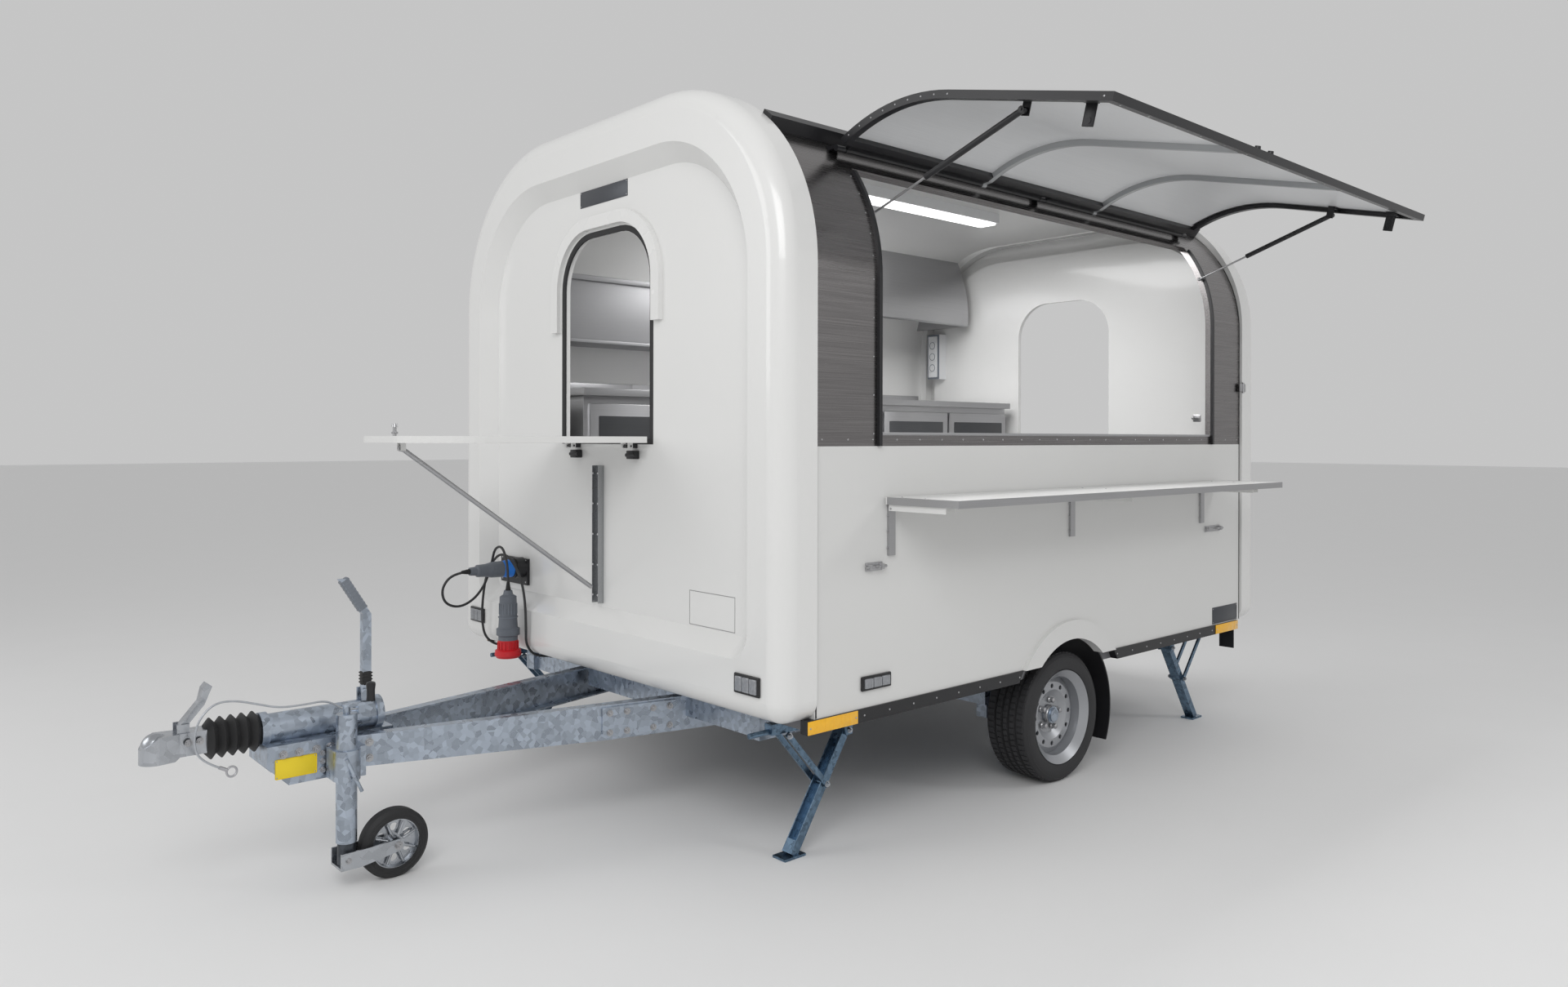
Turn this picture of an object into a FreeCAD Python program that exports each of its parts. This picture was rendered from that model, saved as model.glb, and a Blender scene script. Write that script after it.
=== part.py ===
import FreeCAD, Part
import math
import os

import Sketcher

# Driving dimensions in millimetres. X runs forward from the front seam, Y to the
# serving side, Z up from the ground.
SIZES = {
    "OriginShiftX": 692,
    "OriginShiftY": -431,
    # cabin body
    "SideHalf": 1028,
    "WallThick": 25,
    "BodyLength": 2800,
    "RoofRadius": 610,
    "RoofTop": 2470,
    "PanelBottom": 483,
    "BeltHeight": 1316,
    "SillHigh": 41,
    "FloorBottom": 440,
    "FloorThick": 40,
    "OpeningInset": 290,
    "OpeningTopAngle": 38,
    "SteelTopAngle": 53,
    # end shells
    "ShellProud": 12,
    "ShellRadius": 640,
    "ShellRise": 45,
    "ShellBottom": 475,
    "ShellFoot": 70,
    "RingDepth": 148,
    "PanelDepth": 88,
    "RingEdgeRadius": 68,
    "RecessSide": 156,
    "RecessRadius": 475,
    "RecessBand": 180,
    "RecessFoot": 90,
    "RecessTaper": 45,
    "ShellThick": 25,
    "RimInset": 62,
    # window and doorway
    "WindowHalf": 289,
    "WindowDrop": 239,
    "WindowBottom": 1334,
    "WindowRadius": 190,
    "DoorSill": 25,
    "DoorThick": 30,
    "DoorLap": 16,
    "DoorGap": 6,
    "DoorPinOut": 51,
    "DoorPinSide": 31,
    "DoorHingeLow": 850,
    "DoorHingeHigh": 1750,
    "EarHalf": 15,
    "EarRadius": 8,
    "StrapLong": 46,
    "LeafLug": 24,
    "LugGap": 3,
    # roof rail
    "SealWide": 14,
    "SealProud": 12,
    "SealTopAngle": 36,
    "RailSide": 45,
    "RailLowAngle": 51,
    "RailHighAngle": 55.3,
    # hatch
    "HatchHingeAngle": 43.9,
    "HatchHingeProud": 24.5,
    "HatchInset": 240,
    "HatchFrame": 28,
    "HatchSheet": 5,
    "HatchBayAngle": 38.5,
    "RibWide": 22,
    "StrutPlate": 10,
    "HatchSkin": 25,
    "HatchGap": 12,
    "HatchDrop": 26,
    "HatchTopAngle": 41,
    "HatchSwing": 76.3,
    "HingeBlockLong": 40,
    "HingeBlockAngle": 46,
    "HingeBlockTopAngle": 48,
    "HingePin": 5,
    "HingeKnuckle": 10,
    # struts
    "StrutInset": 18,
    "StrutPinIn": 4,
    "StrutPinRise": 335,
    "StrutEyeAngle": 21.1,
    "StrutEyeInset": 5.3,
    "StrutTubeRadius": 10,
    "StrutRodRadius": 4,
    "StrutBallRadius": 8,
    "StrutRodGap": 0.05,
    "StrutTubeLong": 385,
    "StrutRodInside": 170,
    "StrutBoreEnd": 40,
    "StrutPinRadius": 4,
    "StrutCheek": 4,
    "StrutCheekGap": 3,
    "StrutCheekHalf": 14,
    # wheels and axle
    "AxleX": 1374,
    "WheelZ": 252,
    "TyreRadius": 252,
    "TyreInner": 165,
    "WheelIn": 123,
    "TyreHalf": 96,
    "BeadHalf": 74,
    "RimFlangeRadius": 182,
    "RimLean": 4.3,
    "RimWell": 153,
    "RimRoll": 7,
    "DiscOffset": 22,
    "DiscThick": 6,
    "DiscBulge": 20,
    "DiscRootRadius": 72,
    "DiscCrownInner": 98,
    "DiscCrownOuter": 128,
    "VentRadius": 9,
    "WallInner": 192,
    "WallOuter": 236,
    "TreadHalf": 80,
    "CapRadius": 26,
    "CapLong": 9,
    "HubRadius": 33,
    "BearingGap": 0.05,
    "DrumRadius": 112,
    "DrumFrontIn": 35,
    "DrumBackIn": 115,
    "HubOut": 47,
    "ArmIn": 205,
    "ArmWide": 50,
    "AxleTubeOffset": 130,
    "AxleTubeSide": 80,
    "AxleTubeTop": 360,
    "ArchRadius": 385,
    "LipInner": 312,
    "LipProud": 17,
    "GroundClear": 400,
    "WheelBoxRadius": 335,
    "WheelBoxThick": 6,
    "WheelBoxWide": 225,
    "MudguardBottom": 110,
    # chassis
    "SideRailIn": 328,
    "SideRailWide": 60,
    "SideRailBottom": 360,
    "RailFrontX": 10,
    "CrossWide": 50,
    "DrawFrontX": 1080,
    "DrawFrontY": 84,
    "DrawRearX": 1120,
    "DrawSlopeShare": 0.2315,
    "DrawTop": 431,
    "DrawHeight": 93,
    "DrawDeep": 119,
    "DrawTaperX": 250,
    "DrawFlange": 42,
    "DrawWeb": 6,
    # overrun device
    "HousingFront": 1290,
    "HousingHalf": 84,
    "HousingBottom": 320,
    "HousingTop": 440,
    "HousingRear": 900,
    "TongueHalf": 40,
    "TongueBottom": 345,
    "TongueTop": 430,
    "TubeZ": 475,
    "TubeRadius": 44,
    "TubeRear": 930,
    "HousingSlope": 60,
    "HousingPlate": 8,
    "CollarRadius": 51,
    "CollarLong": 22,
    "BellowsFront": 1435,
    "BellowsRadius": 59,
    "CouplingNeckRadius": 32,
    "HeadFlareX": 1504,
    "HeadNoseZ": 474,
    "HeadRise": 8,
    "DomeRadius": 38,
    "CupX": 1558,
    "CupRadius": 42,
    "CupBottom": 433,
    "CupTop": 508,
    "BallRadius": 25.5,
    "BallZ": 448,
    "HandleX": 1494,
    "HandleZ": 524,
    "HandleLong": 128,
    "HandleThick": 16,
    "HandleWide": 36,
    "HandleTilt": 40,
    "HandleHook": 17,
    "HandleEarThick": 6,
    "HandleEarHalf": 16,
    "HandleGap": 2,
    # hand brake
    "LeverX": 972,
    "LeverZ": 541,
    "LeverLong": 245,
    "LeverTipX": 72,
    "LeverTipZ": 360,
    "LeverWide": 26,
    "LeverThick": 13,
    "LeverEarThick": 8,
    "LeverEarHalf": 20,
    "PinRadius": 6,
    "PinGap": 0.05,
    "FreeGap": 6,
    # jockey wheel
    "JockeyX": 1088,
    "JockeyY": 155,
    "JockeyTop": 520,
    "JockeyTubeBottom": 140,
    "JockeyTubeRadius": 30,
    "JockeyBore": 26.05,
    "CrankRise": 28,
    "CrankRadius": 10,
    "CrankThick": 8,
    "CrankLong": 72,
    "CrankLip": 2,
    "KnobRadius": 11,
    "KnobLong": 54,
    "ClampScrewZ": 350,
    "ClampScrewOut": 22,
    "ClampBarLong": 112,
    "ClampBarRadius": 5,
    "ClampLean": 24,
    "JockeyInnerRadius": 26,
    "JockeyInnerTop": 440,
    "JockeyInnerBottom": 76,
    "ClampX": 1030,
    "ClampLong": 96,
    "ClampRadius": 39,
    "ClampBottom": 325,
    "ClampTop": 415,
    "ForkPlate": 6,
    "ForkBoss": 18,
    "ForkHalf": 35.5,
    "KingPin": 12,
    "KingPinLong": 12,
    "ForkFront": 30,
    "ForkTop": 118,
    "ForkBaseLong": 45,
    "ForkBaseGap": 1,
    "ForkBottom": 68,
    "JockeyWheelX": 946,
    "JockeyWheelRadius": 104,
    "JockeyWheelHalf": 25,
    "JockeyRimRadius": 74,
    "JockeyRounding": 5,
    "JockeyHubRadius": 20,
    "RollerHoleRadius": 12,
    "JockeyPin": 8,
    # steadies
    "SteadyIn": 178,
    "SteadyPivotX": 300,
    "SteadyPivotZ": 370,
    "SteadyRearShift": 30,
    "SteadyWide": 44,
    "SteadyWall": 4,
    "SteadyDeep": 30,
    "SteadyFoot": 60,
    "SteadyFootLong": 90,
    "SteadyFootThick": 8,
    "GuideHalf": 34,
    "GuideFront": 30,
    "GuideDeep": 16,
    "BraceTopX": 30,
    "BraceTopZ": 398,
    "BraceLow": 190,
    "BraceWide": 8,
    "BraceDeep": 18,
    "BraceGap": 4,
    "SpindleRadius": 9,
    "SpindleOut": 110,
    "SpindleZ": 415,
    # counter shelf
    "ShelfFront": 310,
    "ShelfRearInset": 240,
    "ShelfTop": 1151,
    "ShelfThick": 24,
    "ShelfInner": 8,
    "ShelfOuter": 306,
    "ShelfHingeY": 24,
    "ShelfHingeZ": 1114,
    "ShelfPin": 4,
    "ShelfEar": 8,
    "ChannelWide": 30,
    "ChannelDeep": 10,
    "ChannelBottom": 961,
    "ArmLong": 235,
    "ArmDeep": 20,
    "ArmThick": 3,
    "ArmHalf": 24,
    "ArmFrontInset": 30,
    "ArmRearInset": 140,
    # front flap
    "FlapLap": 16,
    "FlapThick": 22,
    "FlapPinOut": 40,
    "FlapPinDrop": 12,
    "FlapHingeZ": 1312,
    "FlapBack": 14,
    "FlapEarLeft": 200,
    "FlapEarRight": -180,
    "FlapEarHalf": 10,
    "FlapEarRadius": 7,
    "FlapLug": 12,
    "BarY": 30,
    "BarTopX": 845,
    "BarDrop": 18,
    "BarFootOut": 40,
    "BarFootZ": 791,
    "BarRadius": 8,
    "BarEye": 11,
    "TrackHalf": 22,
    "TrackDepth": 24,
    "TrackSheet": 3,
    "TrackBottom": 730,
    "TrackTop": 1239,
    # kitchen
    "WorktopFront": 300,
    "WorktopTop": 1540,
    "WorktopThick": 30,
    "KitchenFront": 700,
    "UpstandHigh": 60,
    "UpstandThick": 20,
    "BoardThick": 18,
    "CupboardInset": 40,
    "HoodFront": 600,
    "HoodDrop": 70,
    "HoodHigh": 400,
    "HoodEdge": 60,
    "HoodSlope": 90,
    "HoodCurve": 700,
    "HoodFrontX": 1500,
    "HoodSheet": 12,
    "SocketBoxIn": 163,
    "SocketBoxZ": 1835,
    "SocketBoxHigh": 270,
    "SocketBoxWide": 90,
    "SocketBoxDeep": 60,
    "LampLong": 960,
    "LampRearInset": 720,
    "LampY": 100,
    "LampHalf": 60,
    "LampDeep": 45,
    # fittings
    "ReflectorLong": 216,
    "ReflectorThick": 4,
    "StripBottom": 440,
    "StripFront": 34,
    "StripInset": 33,
    "StripProud": 6,
    "SideLampX": 201,
    "SideLampLong": 137,
    "SideLampBottom": 537,
    "SideLampHigh": 47,
    "SideLampThick": 16,
    "EndLampIn": 150,
    "EndLampZ": 588,
    "EndLampLong": 120,
    "EndLampHigh": 62,
    "EndLampThick": 14,
    "CornerPlateIn": 110,
    "CornerPlateWide": 70,
    "CornerPlateLow": 340,
    "CornerPlateThick": 6,
    "BezelInner": 25,
    "BezelWide": 46,
    "BezelThick": 20,
    "BezelEnd": 1750,
    "InletY": 600,
    "InletZ": 811,
    "InletThick": 12,
    "InletRadius": 42,
    "InletLong": 50,
    "InletFlangeIn": 40,
    "InletFlangeWide": 220,
    "InletFlangeLow": 740,
    "InletFlangeHigh": 107,
    "PlugLong": 180,
    "PlugRadius": 36,
    "CouplerX": 208,
    "CouplerY": 515,
    "CouplerZ": 735,
    "CouplerLong": 265,
    "CouplerRadius": 52,
    "CordRadius": 5,
    "BreakawayRadius": 3,
    "GlandRadius": 9,
    "GlandLong": 10,
    "GlandZ": 458,
    "GlandOuterY": 790,
    "GlandInnerY": 475,
    "AnchorX": 1000,
    "AnchorLong": 20,
    "AnchorIn": 36,
    "AnchorWide": 34,
    "AnchorLow": 494,
    "AnchorHigh": 24,
    "ClipRadius": 5,
    "ClipLong": 24,
    "ClipRing": 14,
    "ClipWire": 3,
}


class Size:
    """A number together with the sheet expression that gives it."""

    def __init__(self, value, text):
        self.value = value
        self.text = text

    def join(self, other, sign, flip=False):
        """Combine two sizes with one arithmetic sign."""
        other = other if isinstance(other, Size) else Size(other, repr(other))
        left, right = (other, self) if flip else (self, other)
        results = {
            "+": left.value + right.value,
            "-": left.value - right.value,
            "*": left.value * right.value,
        }
        if sign == "/":
            value = left.value / right.value
        else:
            value = results[sign]
        return Size(value, f"({left.text} {sign} {right.text})")

    def __add__(self, other):
        return self.join(other, "+")

    def __radd__(self, other):
        return self.join(other, "+", True)

    def __sub__(self, other):
        return self.join(other, "-")

    def __rsub__(self, other):
        return self.join(other, "-", True)

    def __mul__(self, other):
        return self.join(other, "*")

    def __rmul__(self, other):
        return self.join(other, "*", True)

    def __truediv__(self, other):
        return self.join(other, "/")

    def __neg__(self):
        return Size(-self.value, f"(-{self.text})")


def sine(angle):
    return Size(math.sin(math.radians(angle.value)), f"sin({angle.text})")


def cosine(angle):
    return Size(math.cos(math.radians(angle.value)), f"cos({angle.text})")


def length_of(rise, run):
    return Size(math.hypot(rise.value, run.value), f"sqrt({rise.text} ^ 2 + {run.text} ^ 2)")


def bearing(rise, run):
    """The angle of a line from its rise and its run."""
    turn = math.degrees(math.atan2(rise.value, run.value))
    return Size(turn, f"atan2({rise.text}; {run.text})")


def swung(y, z, pivot_y, pivot_z, angle):
    """A point of the side view turned about a pivot."""
    across = y - pivot_y
    above = z - pivot_z
    return (
        pivot_y + across * cosine(angle) - above * sine(angle),
        pivot_z + across * sine(angle) + above * cosine(angle),
    )


doc = FreeCAD.newDocument("CateringTrailer")
sheet = doc.addObject("Spreadsheet::Sheet", "Dimensions")
S = {}
for row, (alias, number) in enumerate(SIZES.items(), start=1):
    sheet.set(f"A{row}", alias)
    sheet.set(f"B{row}", str(number))
    sheet.setAlias(f"B{row}", alias)
    S[alias] = Size(float(number), f"Dimensions.{alias}")
doc.recompute()

ZERO = Size(0.0, "0")
FULL_TURN = 360
QUARTER_TURN = 90
TURNS = {
    "XY": FreeCAD.Rotation(),
    "XZ": FreeCAD.Rotation(FreeCAD.Vector(1, 0, 0), 90),
    "YZ": FreeCAD.Rotation(FreeCAD.Vector(1, 1, 1), 120),
}
AXES = {
    "X": FreeCAD.Rotation(FreeCAD.Vector(0, 1, 0), 90),
    "Y": FreeCAD.Rotation(FreeCAD.Vector(1, 0, 0), -90),
    "Z": FreeCAD.Rotation(),
}
NODES = []


def bind(item, prop, size):
    """Set a property from a size and keep it bound to the sheet."""
    size = size if isinstance(size, Size) else Size(float(size), repr(float(size)))
    if "." not in prop:
        setattr(item, prop, size.value)
    item.setExpression(prop, size.text)


def put(item, x, y, z, turn=None, angle=None):
    """Place an item, with its position bound to the sheet."""
    spot = [v if isinstance(v, Size) else Size(float(v), repr(float(v))) for v in (x, y, z)]
    turn = turn or FreeCAD.Rotation()
    item.Placement = FreeCAD.Placement(FreeCAD.Vector(*[v.value for v in spot]), turn)
    for axis, size in zip("xyz", spot):
        item.setExpression(f"Placement.Base.{axis}", size.text)
    if angle is not None:
        item.setExpression("Placement.Rotation.Angle", angle.text)
    return item


def box(name, x, y, z, long, wide, high):
    item = doc.addObject("Part::Box", name)
    bind(item, "Length", long)
    bind(item, "Width", wide)
    bind(item, "Height", high)
    return put(item, x, y, z)


def rod(name, axis, x, y, z, radius, long):
    item = doc.addObject("Part::Cylinder", name)
    bind(item, "Radius", radius)
    bind(item, "Height", long)
    return put(item, x, y, z, AXES[axis])


def ball(name, x, y, z, radius):
    item = doc.addObject("Part::Sphere", name)
    bind(item, "Radius", radius)
    return put(item, x, y, z)


def cut(name, base, *tools):
    item = doc.addObject("Part::Cut", name)
    item.Base = base
    item.Tool = tools[0] if len(tools) == 1 else group(name + "_tools", *tools)
    return item


def fuse(name, *parts):
    item = doc.addObject("Part::MultiFuse", name)
    item.Shapes = list(parts)
    item.Refine = True
    return item


def common(name, *parts):
    item = doc.addObject("Part::MultiCommon", name)
    item.Shapes = list(parts)
    return item


def group(name, *parts):
    item = doc.addObject("Part::Compound", name)
    item.Links = list(parts)
    return item


def mirror(name, part, normal, x=ZERO):
    item = doc.addObject("Part::Mirroring", name)
    item.Source = part
    item.Normal = FreeCAD.Vector(*normal)
    item.Base = FreeCAD.Vector(x.value, 0, 0)
    item.setExpression("Base.x", x.text)
    return item


def sketch_loop(sketch, points):
    """Draw one closed loop; a point with a radius starts an arc to the next point."""
    first = sketch.GeometryCount
    total = len(points)
    for index, point in enumerate(points):
        after = points[(index + 1) % total]
        start = FreeCAD.Vector(point[0].value, point[1].value, 0)
        end = FreeCAD.Vector(after[0].value, after[1].value, 0)
        if len(point) == 2:
            sketch.addGeometry(Part.LineSegment(start, end), False)
            continue
        radius = abs(point[2].value)
        middle = (start + end) * 0.5
        half = (end - start).Length * 0.5
        side = FreeCAD.Vector(-(end - start).y, (end - start).x, 0)
        side.normalize()
        rise = math.sqrt(max(radius * radius - half * half, 0.0))
        centre = middle + side * rise * point[3]
        lean = FreeCAD.Vector(0, 0, 1)
        circle = Part.Circle(centre, lean, radius)
        angles = [math.atan2(p.y - centre.y, p.x - centre.x) for p in (start, end)]
        if point[3] < 0:
            angles.reverse()
        sketch.addGeometry(Part.ArcOfCircle(circle, angles[0], angles[1]), False)
    for index, point in enumerate(points):
        before = first + (index - 1) % total
        here = first + index
        starts = 2 if len(point) == 4 and point[3] < 0 else 1
        ends = 1 if len(points[index - 1]) == 4 and points[index - 1][3] < 0 else 2
        sketch.addConstraint(Sketcher.Constraint("Coincident", before, ends, here, starts))
        for kind, size in (("DistanceX", point[0]), ("DistanceY", point[1])):
            number = sketch.addConstraint(Sketcher.Constraint(kind, here, starts, size.value))
            sketch.setExpression(f"Constraints[{number}]", size.text)
        if len(point) == 4:
            rule = Sketcher.Constraint("Radius", here, abs(point[2].value))
            number = sketch.addConstraint(rule)
            sketch.setExpression(f"Constraints[{number}]", point[2].text)


def profile(name, plane, offset, loops):
    """A body with one sketch standing at an offset from its plane."""
    body = doc.addObject("PartDesign::Body", name)
    sketch = body.newObject("Sketcher::SketchObject", name + "_sketch")
    spots = {"XY": (0, 0, offset), "XZ": (0, offset, 0), "YZ": (offset, 0, 0)}
    put(sketch, *spots[plane], TURNS[plane])
    for points in loops:
        sketch_loop(sketch, [tuple(as_size(v) for v in p[:3]) + p[3:] for p in points])
    return body, sketch


def as_size(value):
    return value if isinstance(value, Size) else Size(float(value), repr(float(value)))


def pad(name, plane, offset, long, *loops):
    """A padded outline: XY pads up, YZ pads forward, XZ pads towards -Y."""
    body, sketch = profile(name, plane, offset, loops)
    feature = body.newObject("PartDesign::Pad", name + "_pad")
    feature.Profile = sketch
    bind(feature, "Length", long)
    return body


def turned(name, plane, offset, axis, *loops):
    """An outline turned a full circle about its sketch axis."""
    body, sketch = profile(name, plane, offset, loops)
    feature = body.newObject("PartDesign::Revolution", name + "_turn")
    feature.Profile = sketch
    feature.ReferenceAxis = (sketch, [axis])
    feature.Angle = FULL_TURN
    return body


def round_part(name, long, radius, shares):
    """A part turned about X, its outline given as shares of its length and radius."""
    return turned(name, "XY", 0, "H_Axis",
                  [(long * along, radius * out) for along, out in shares])


def node(name, *parts):
    """Collect the finished pieces of one node and move them to the shared frame."""
    item = doc.addObject("Part::Compound", name)
    item.Links = list(parts)
    put(item, S["OriginShiftX"], S["OriginShiftY"], ZERO)
    NODES.append(item)
    return item


def arch_outline(half, radius, top, bottom, foot):
    """An upright outline with two round upper corners and small lower ones."""
    return [
        (half, bottom + foot),
        (half, top - radius, radius, 1),
        (half - radius, top),
        (radius - half, top, radius, 1),
        (-half, top - radius),
        (-half, bottom + foot, foot, 1),
        (foot - half, bottom),
        (half - foot, bottom, foot, 1),
    ]


def on_arc(angle, inset):
    """A point of the serving-side roof curve, set in from its outer face."""
    reach = S["RoofRadius"] - inset
    return (
        S["SideHalf"] - S["RoofRadius"] + reach * cosine(angle),
        S["RoofTop"] - S["RoofRadius"] + reach * sine(angle),
    )


# Cabin walls
thick = S["WallThick"]
roof_top = S["RoofTop"]
length = S["BodyLength"]
sill_top = S["BeltHeight"] + S["SillHigh"]
opening_rear = length - S["OpeningInset"]
hatch_rear = length - S["HatchInset"]
side_in = S["SideHalf"] - thick
arc_base = roof_top - S["RoofRadius"]
steel = S["SteelTopAngle"]
steel_sheet = pad(
    "steel_sheet", "YZ", -length, length,
    [
        (S["SideHalf"], S["BeltHeight"]),
        (S["SideHalf"], arc_base, S["RoofRadius"], 1),
        on_arc(steel, ZERO),
        on_arc(steel, thick) + (S["RoofRadius"] - thick, -1),
        (side_in, arc_base),
        (side_in, S["BeltHeight"]),
    ],
)
top_angle = S["OpeningTopAngle"]
opening_tool = pad(
    "opening_tool", "YZ", -opening_rear, opening_rear - S["OpeningInset"],
    [
        (side_in - thick * 3, sill_top),
        (S["SideHalf"] + thick, sill_top),
        (S["SideHalf"] + thick, arc_base + S["RoofRadius"] * sine(top_angle)),
        on_arc(top_angle, -thick),
        on_arc(top_angle, thick * 3),
    ],
)
node("steel_surround", cut("steel_with_opening", steel_sheet, opening_tool))

roof_sheet = pad(
    "roof_sheet", "YZ", -length, length,
    [
        on_arc(steel, ZERO) + (S["RoofRadius"], 1),
        (S["SideHalf"] - S["RoofRadius"], roof_top),
        (S["RoofRadius"] - S["SideHalf"], roof_top, S["RoofRadius"], 1),
        (-S["SideHalf"], arc_base),
        (-side_in, arc_base, S["RoofRadius"] - thick, -1),
        (S["RoofRadius"] - S["SideHalf"], roof_top - thick),
        (S["SideHalf"] - S["RoofRadius"], roof_top - thick, S["RoofRadius"] - thick, -1),
        on_arc(steel, thick),
    ],
)
node("roof_panel", roof_sheet)

wheel_x = -S["AxleX"]
wheel_y = S["SideHalf"] - S["WheelIn"]
well_inner = side_in - S["WheelBoxWide"]
arch_tool = rod("arch_tool", "Y", wheel_x, -S["SideHalf"] * 2, S["WheelZ"], S["ArchRadius"],
                S["SideHalf"] * 4)
left_sheet = box("left_sheet", -length, side_in, S["PanelBottom"], length,
                 thick, S["BeltHeight"] - S["PanelBottom"])
right_sheet = box("right_sheet", -length, -S["SideHalf"], S["PanelBottom"],
                  length, thick, arc_base - S["PanelBottom"])
node(
    "side_panels",
    cut("left_with_arch", left_sheet, arch_tool),
    cut("right_with_arch", right_sheet, arch_tool),
)

strip_rear = length - S["StripInset"]
strip = box("strip_blank", -strip_rear, S["SideHalf"] - thick, S["StripBottom"],
            S["StripFront"] + strip_rear, thick + S["StripProud"],
            S["PanelBottom"] - S["StripBottom"])
strip_left = cut("strip_left", strip, arch_tool)
node("sill_strips", strip_left, mirror("strip_right", strip_left, (0, 1, 0)))

lip_outer = rod("lip_outer", "Y", wheel_x, side_in, S["WheelZ"], S["ArchRadius"],
                thick + S["LipProud"])
lip_hole = rod("lip_hole", "Y", wheel_x, side_in - thick, S["WheelZ"], S["LipInner"], thick * 4)
lip_below = box("lip_below", wheel_x - S["ArchRadius"] * 2, side_in - thick,
                -S["GroundClear"], S["ArchRadius"] * 4, thick * 4,
                S["PanelBottom"] + S["GroundClear"])
lip_left = cut("lip_left", lip_outer, lip_hole, lip_below)
node("arch_lips", lip_left, mirror("lip_right", lip_left, (0, 1, 0)))

box_well = rod("box_well", "Y", wheel_x, well_inner, S["WheelZ"], S["WheelBoxRadius"],
               side_in - well_inner)
floor_blank = box("floor_blank", -length, -side_in, S["FloorBottom"], length,
                  side_in * 2, S["FloorThick"])
node(
    "floor_panel",
    cut("floor_cut", floor_blank, box_well, mirror("box_well_right", box_well, (0, 1, 0))),
)

box_inner = rod("box_inner", "Y", wheel_x, well_inner + S["WheelBoxThick"], S["WheelZ"],
                S["WheelBoxRadius"] - S["WheelBoxThick"], side_in)
below = -S["GroundClear"]
box_front = box("box_front", wheel_x, 0, below, S["WheelBoxRadius"] * 2, side_in * 2,
                S["FloorBottom"] + S["GroundClear"])
box_low = box("box_low", wheel_x - S["WheelBoxRadius"] * 2, 0, below,
              S["WheelBoxRadius"] * 4, side_in * 2, S["MudguardBottom"] + S["GroundClear"])
box_plate = box("box_plate", wheel_x - S["WheelBoxRadius"] * 2, 0, below,
                S["WheelBoxRadius"] * 4, well_inner + S["WheelBoxThick"],
                S["FloorBottom"] + S["GroundClear"])
box_left = cut("box_left", box_well, box_inner, box_front, box_low, box_plate)
node("wheel_boxes", box_left, mirror("box_right", box_left, (0, 1, 0)))

# End shells: one moulding, used at the front and mirrored to the rear
shell_half = S["SideHalf"] + S["ShellProud"]
shell_top = roof_top + S["ShellRise"]
recess_half = shell_half - S["RecessSide"]
recess_top = shell_top - S["RecessBand"]
recess_low = S["ShellBottom"] + S["RecessBand"]
recess_step = S["RingDepth"] - S["PanelDepth"]
door_low = recess_low + recess_step + S["DoorSill"]
window_top = recess_top - S["WindowDrop"]
shell_body, shell_sketch = profile(
    "shell_body", "YZ", 0,
    [arch_outline(shell_half, S["ShellRadius"], shell_top, S["ShellBottom"],
                  S["ShellFoot"])],
)
shell_pad = shell_body.newObject("PartDesign::Pad", "shell_pad")
shell_pad.Profile = shell_sketch
bind(shell_pad, "Length", S["RingDepth"])
doc.recompute()
front_edges = [
    f"Edge{number}"
    for number, edge in enumerate(shell_pad.Shape.Edges, start=1)
    if abs(edge.BoundBox.XMin - S["RingDepth"].value) < 0.01
]
shell_round = shell_body.newObject("PartDesign::Fillet", "shell_round")
shell_round.Base = (shell_pad, front_edges)
bind(shell_round, "Radius", S["RingEdgeRadius"])
recess_sketch = shell_body.newObject("Sketcher::SketchObject", "recess_sketch")
put(recess_sketch, S["RingDepth"], 0, 0, TURNS["YZ"])
sketch_loop(
    recess_sketch,
    [tuple(as_size(v) for v in p[:3]) + p[3:] for p in arch_outline(
        recess_half, S["RecessRadius"], recess_top, recess_low, S["RecessFoot"])],
)
recess = shell_body.newObject("PartDesign::Pocket", "shell_recess")
recess.Profile = recess_sketch
bind(recess, "Length", recess_step)
recess.TaperAngle = -S["RecessTaper"].value
recess.setExpression("TaperAngle", f"-{S['RecessTaper'].text}")
inset = S["ShellThick"]
cavity_main = pad(
    "cavity_main", "YZ", -inset, S["PanelDepth"],
    arch_outline(shell_half - inset, S["ShellRadius"] - inset, shell_top - inset,
                 S["ShellBottom"] + inset, S["ShellFoot"] - inset),
)
rim = S["RimInset"]
cavity_rim = pad(
    "cavity_rim", "YZ", -inset, S["RingDepth"],
    arch_outline(shell_half - rim, S["ShellRadius"] - rim, shell_top - rim,
                 S["ShellBottom"] + rim, S["ShellFoot"] - rim + inset),
)
core = pad(
    "cavity_core", "YZ", S["PanelDepth"] - inset, S["RingDepth"],
    arch_outline(recess_half + inset, S["RecessRadius"] + inset, recess_top + inset,
                 recess_low - inset, S["RecessFoot"] + inset),
)
cavity_ring = cut("cavity_ring", cavity_rim, core)
shell_hollow = cut("shell_hollow", shell_body, cavity_main, cavity_ring)

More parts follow.
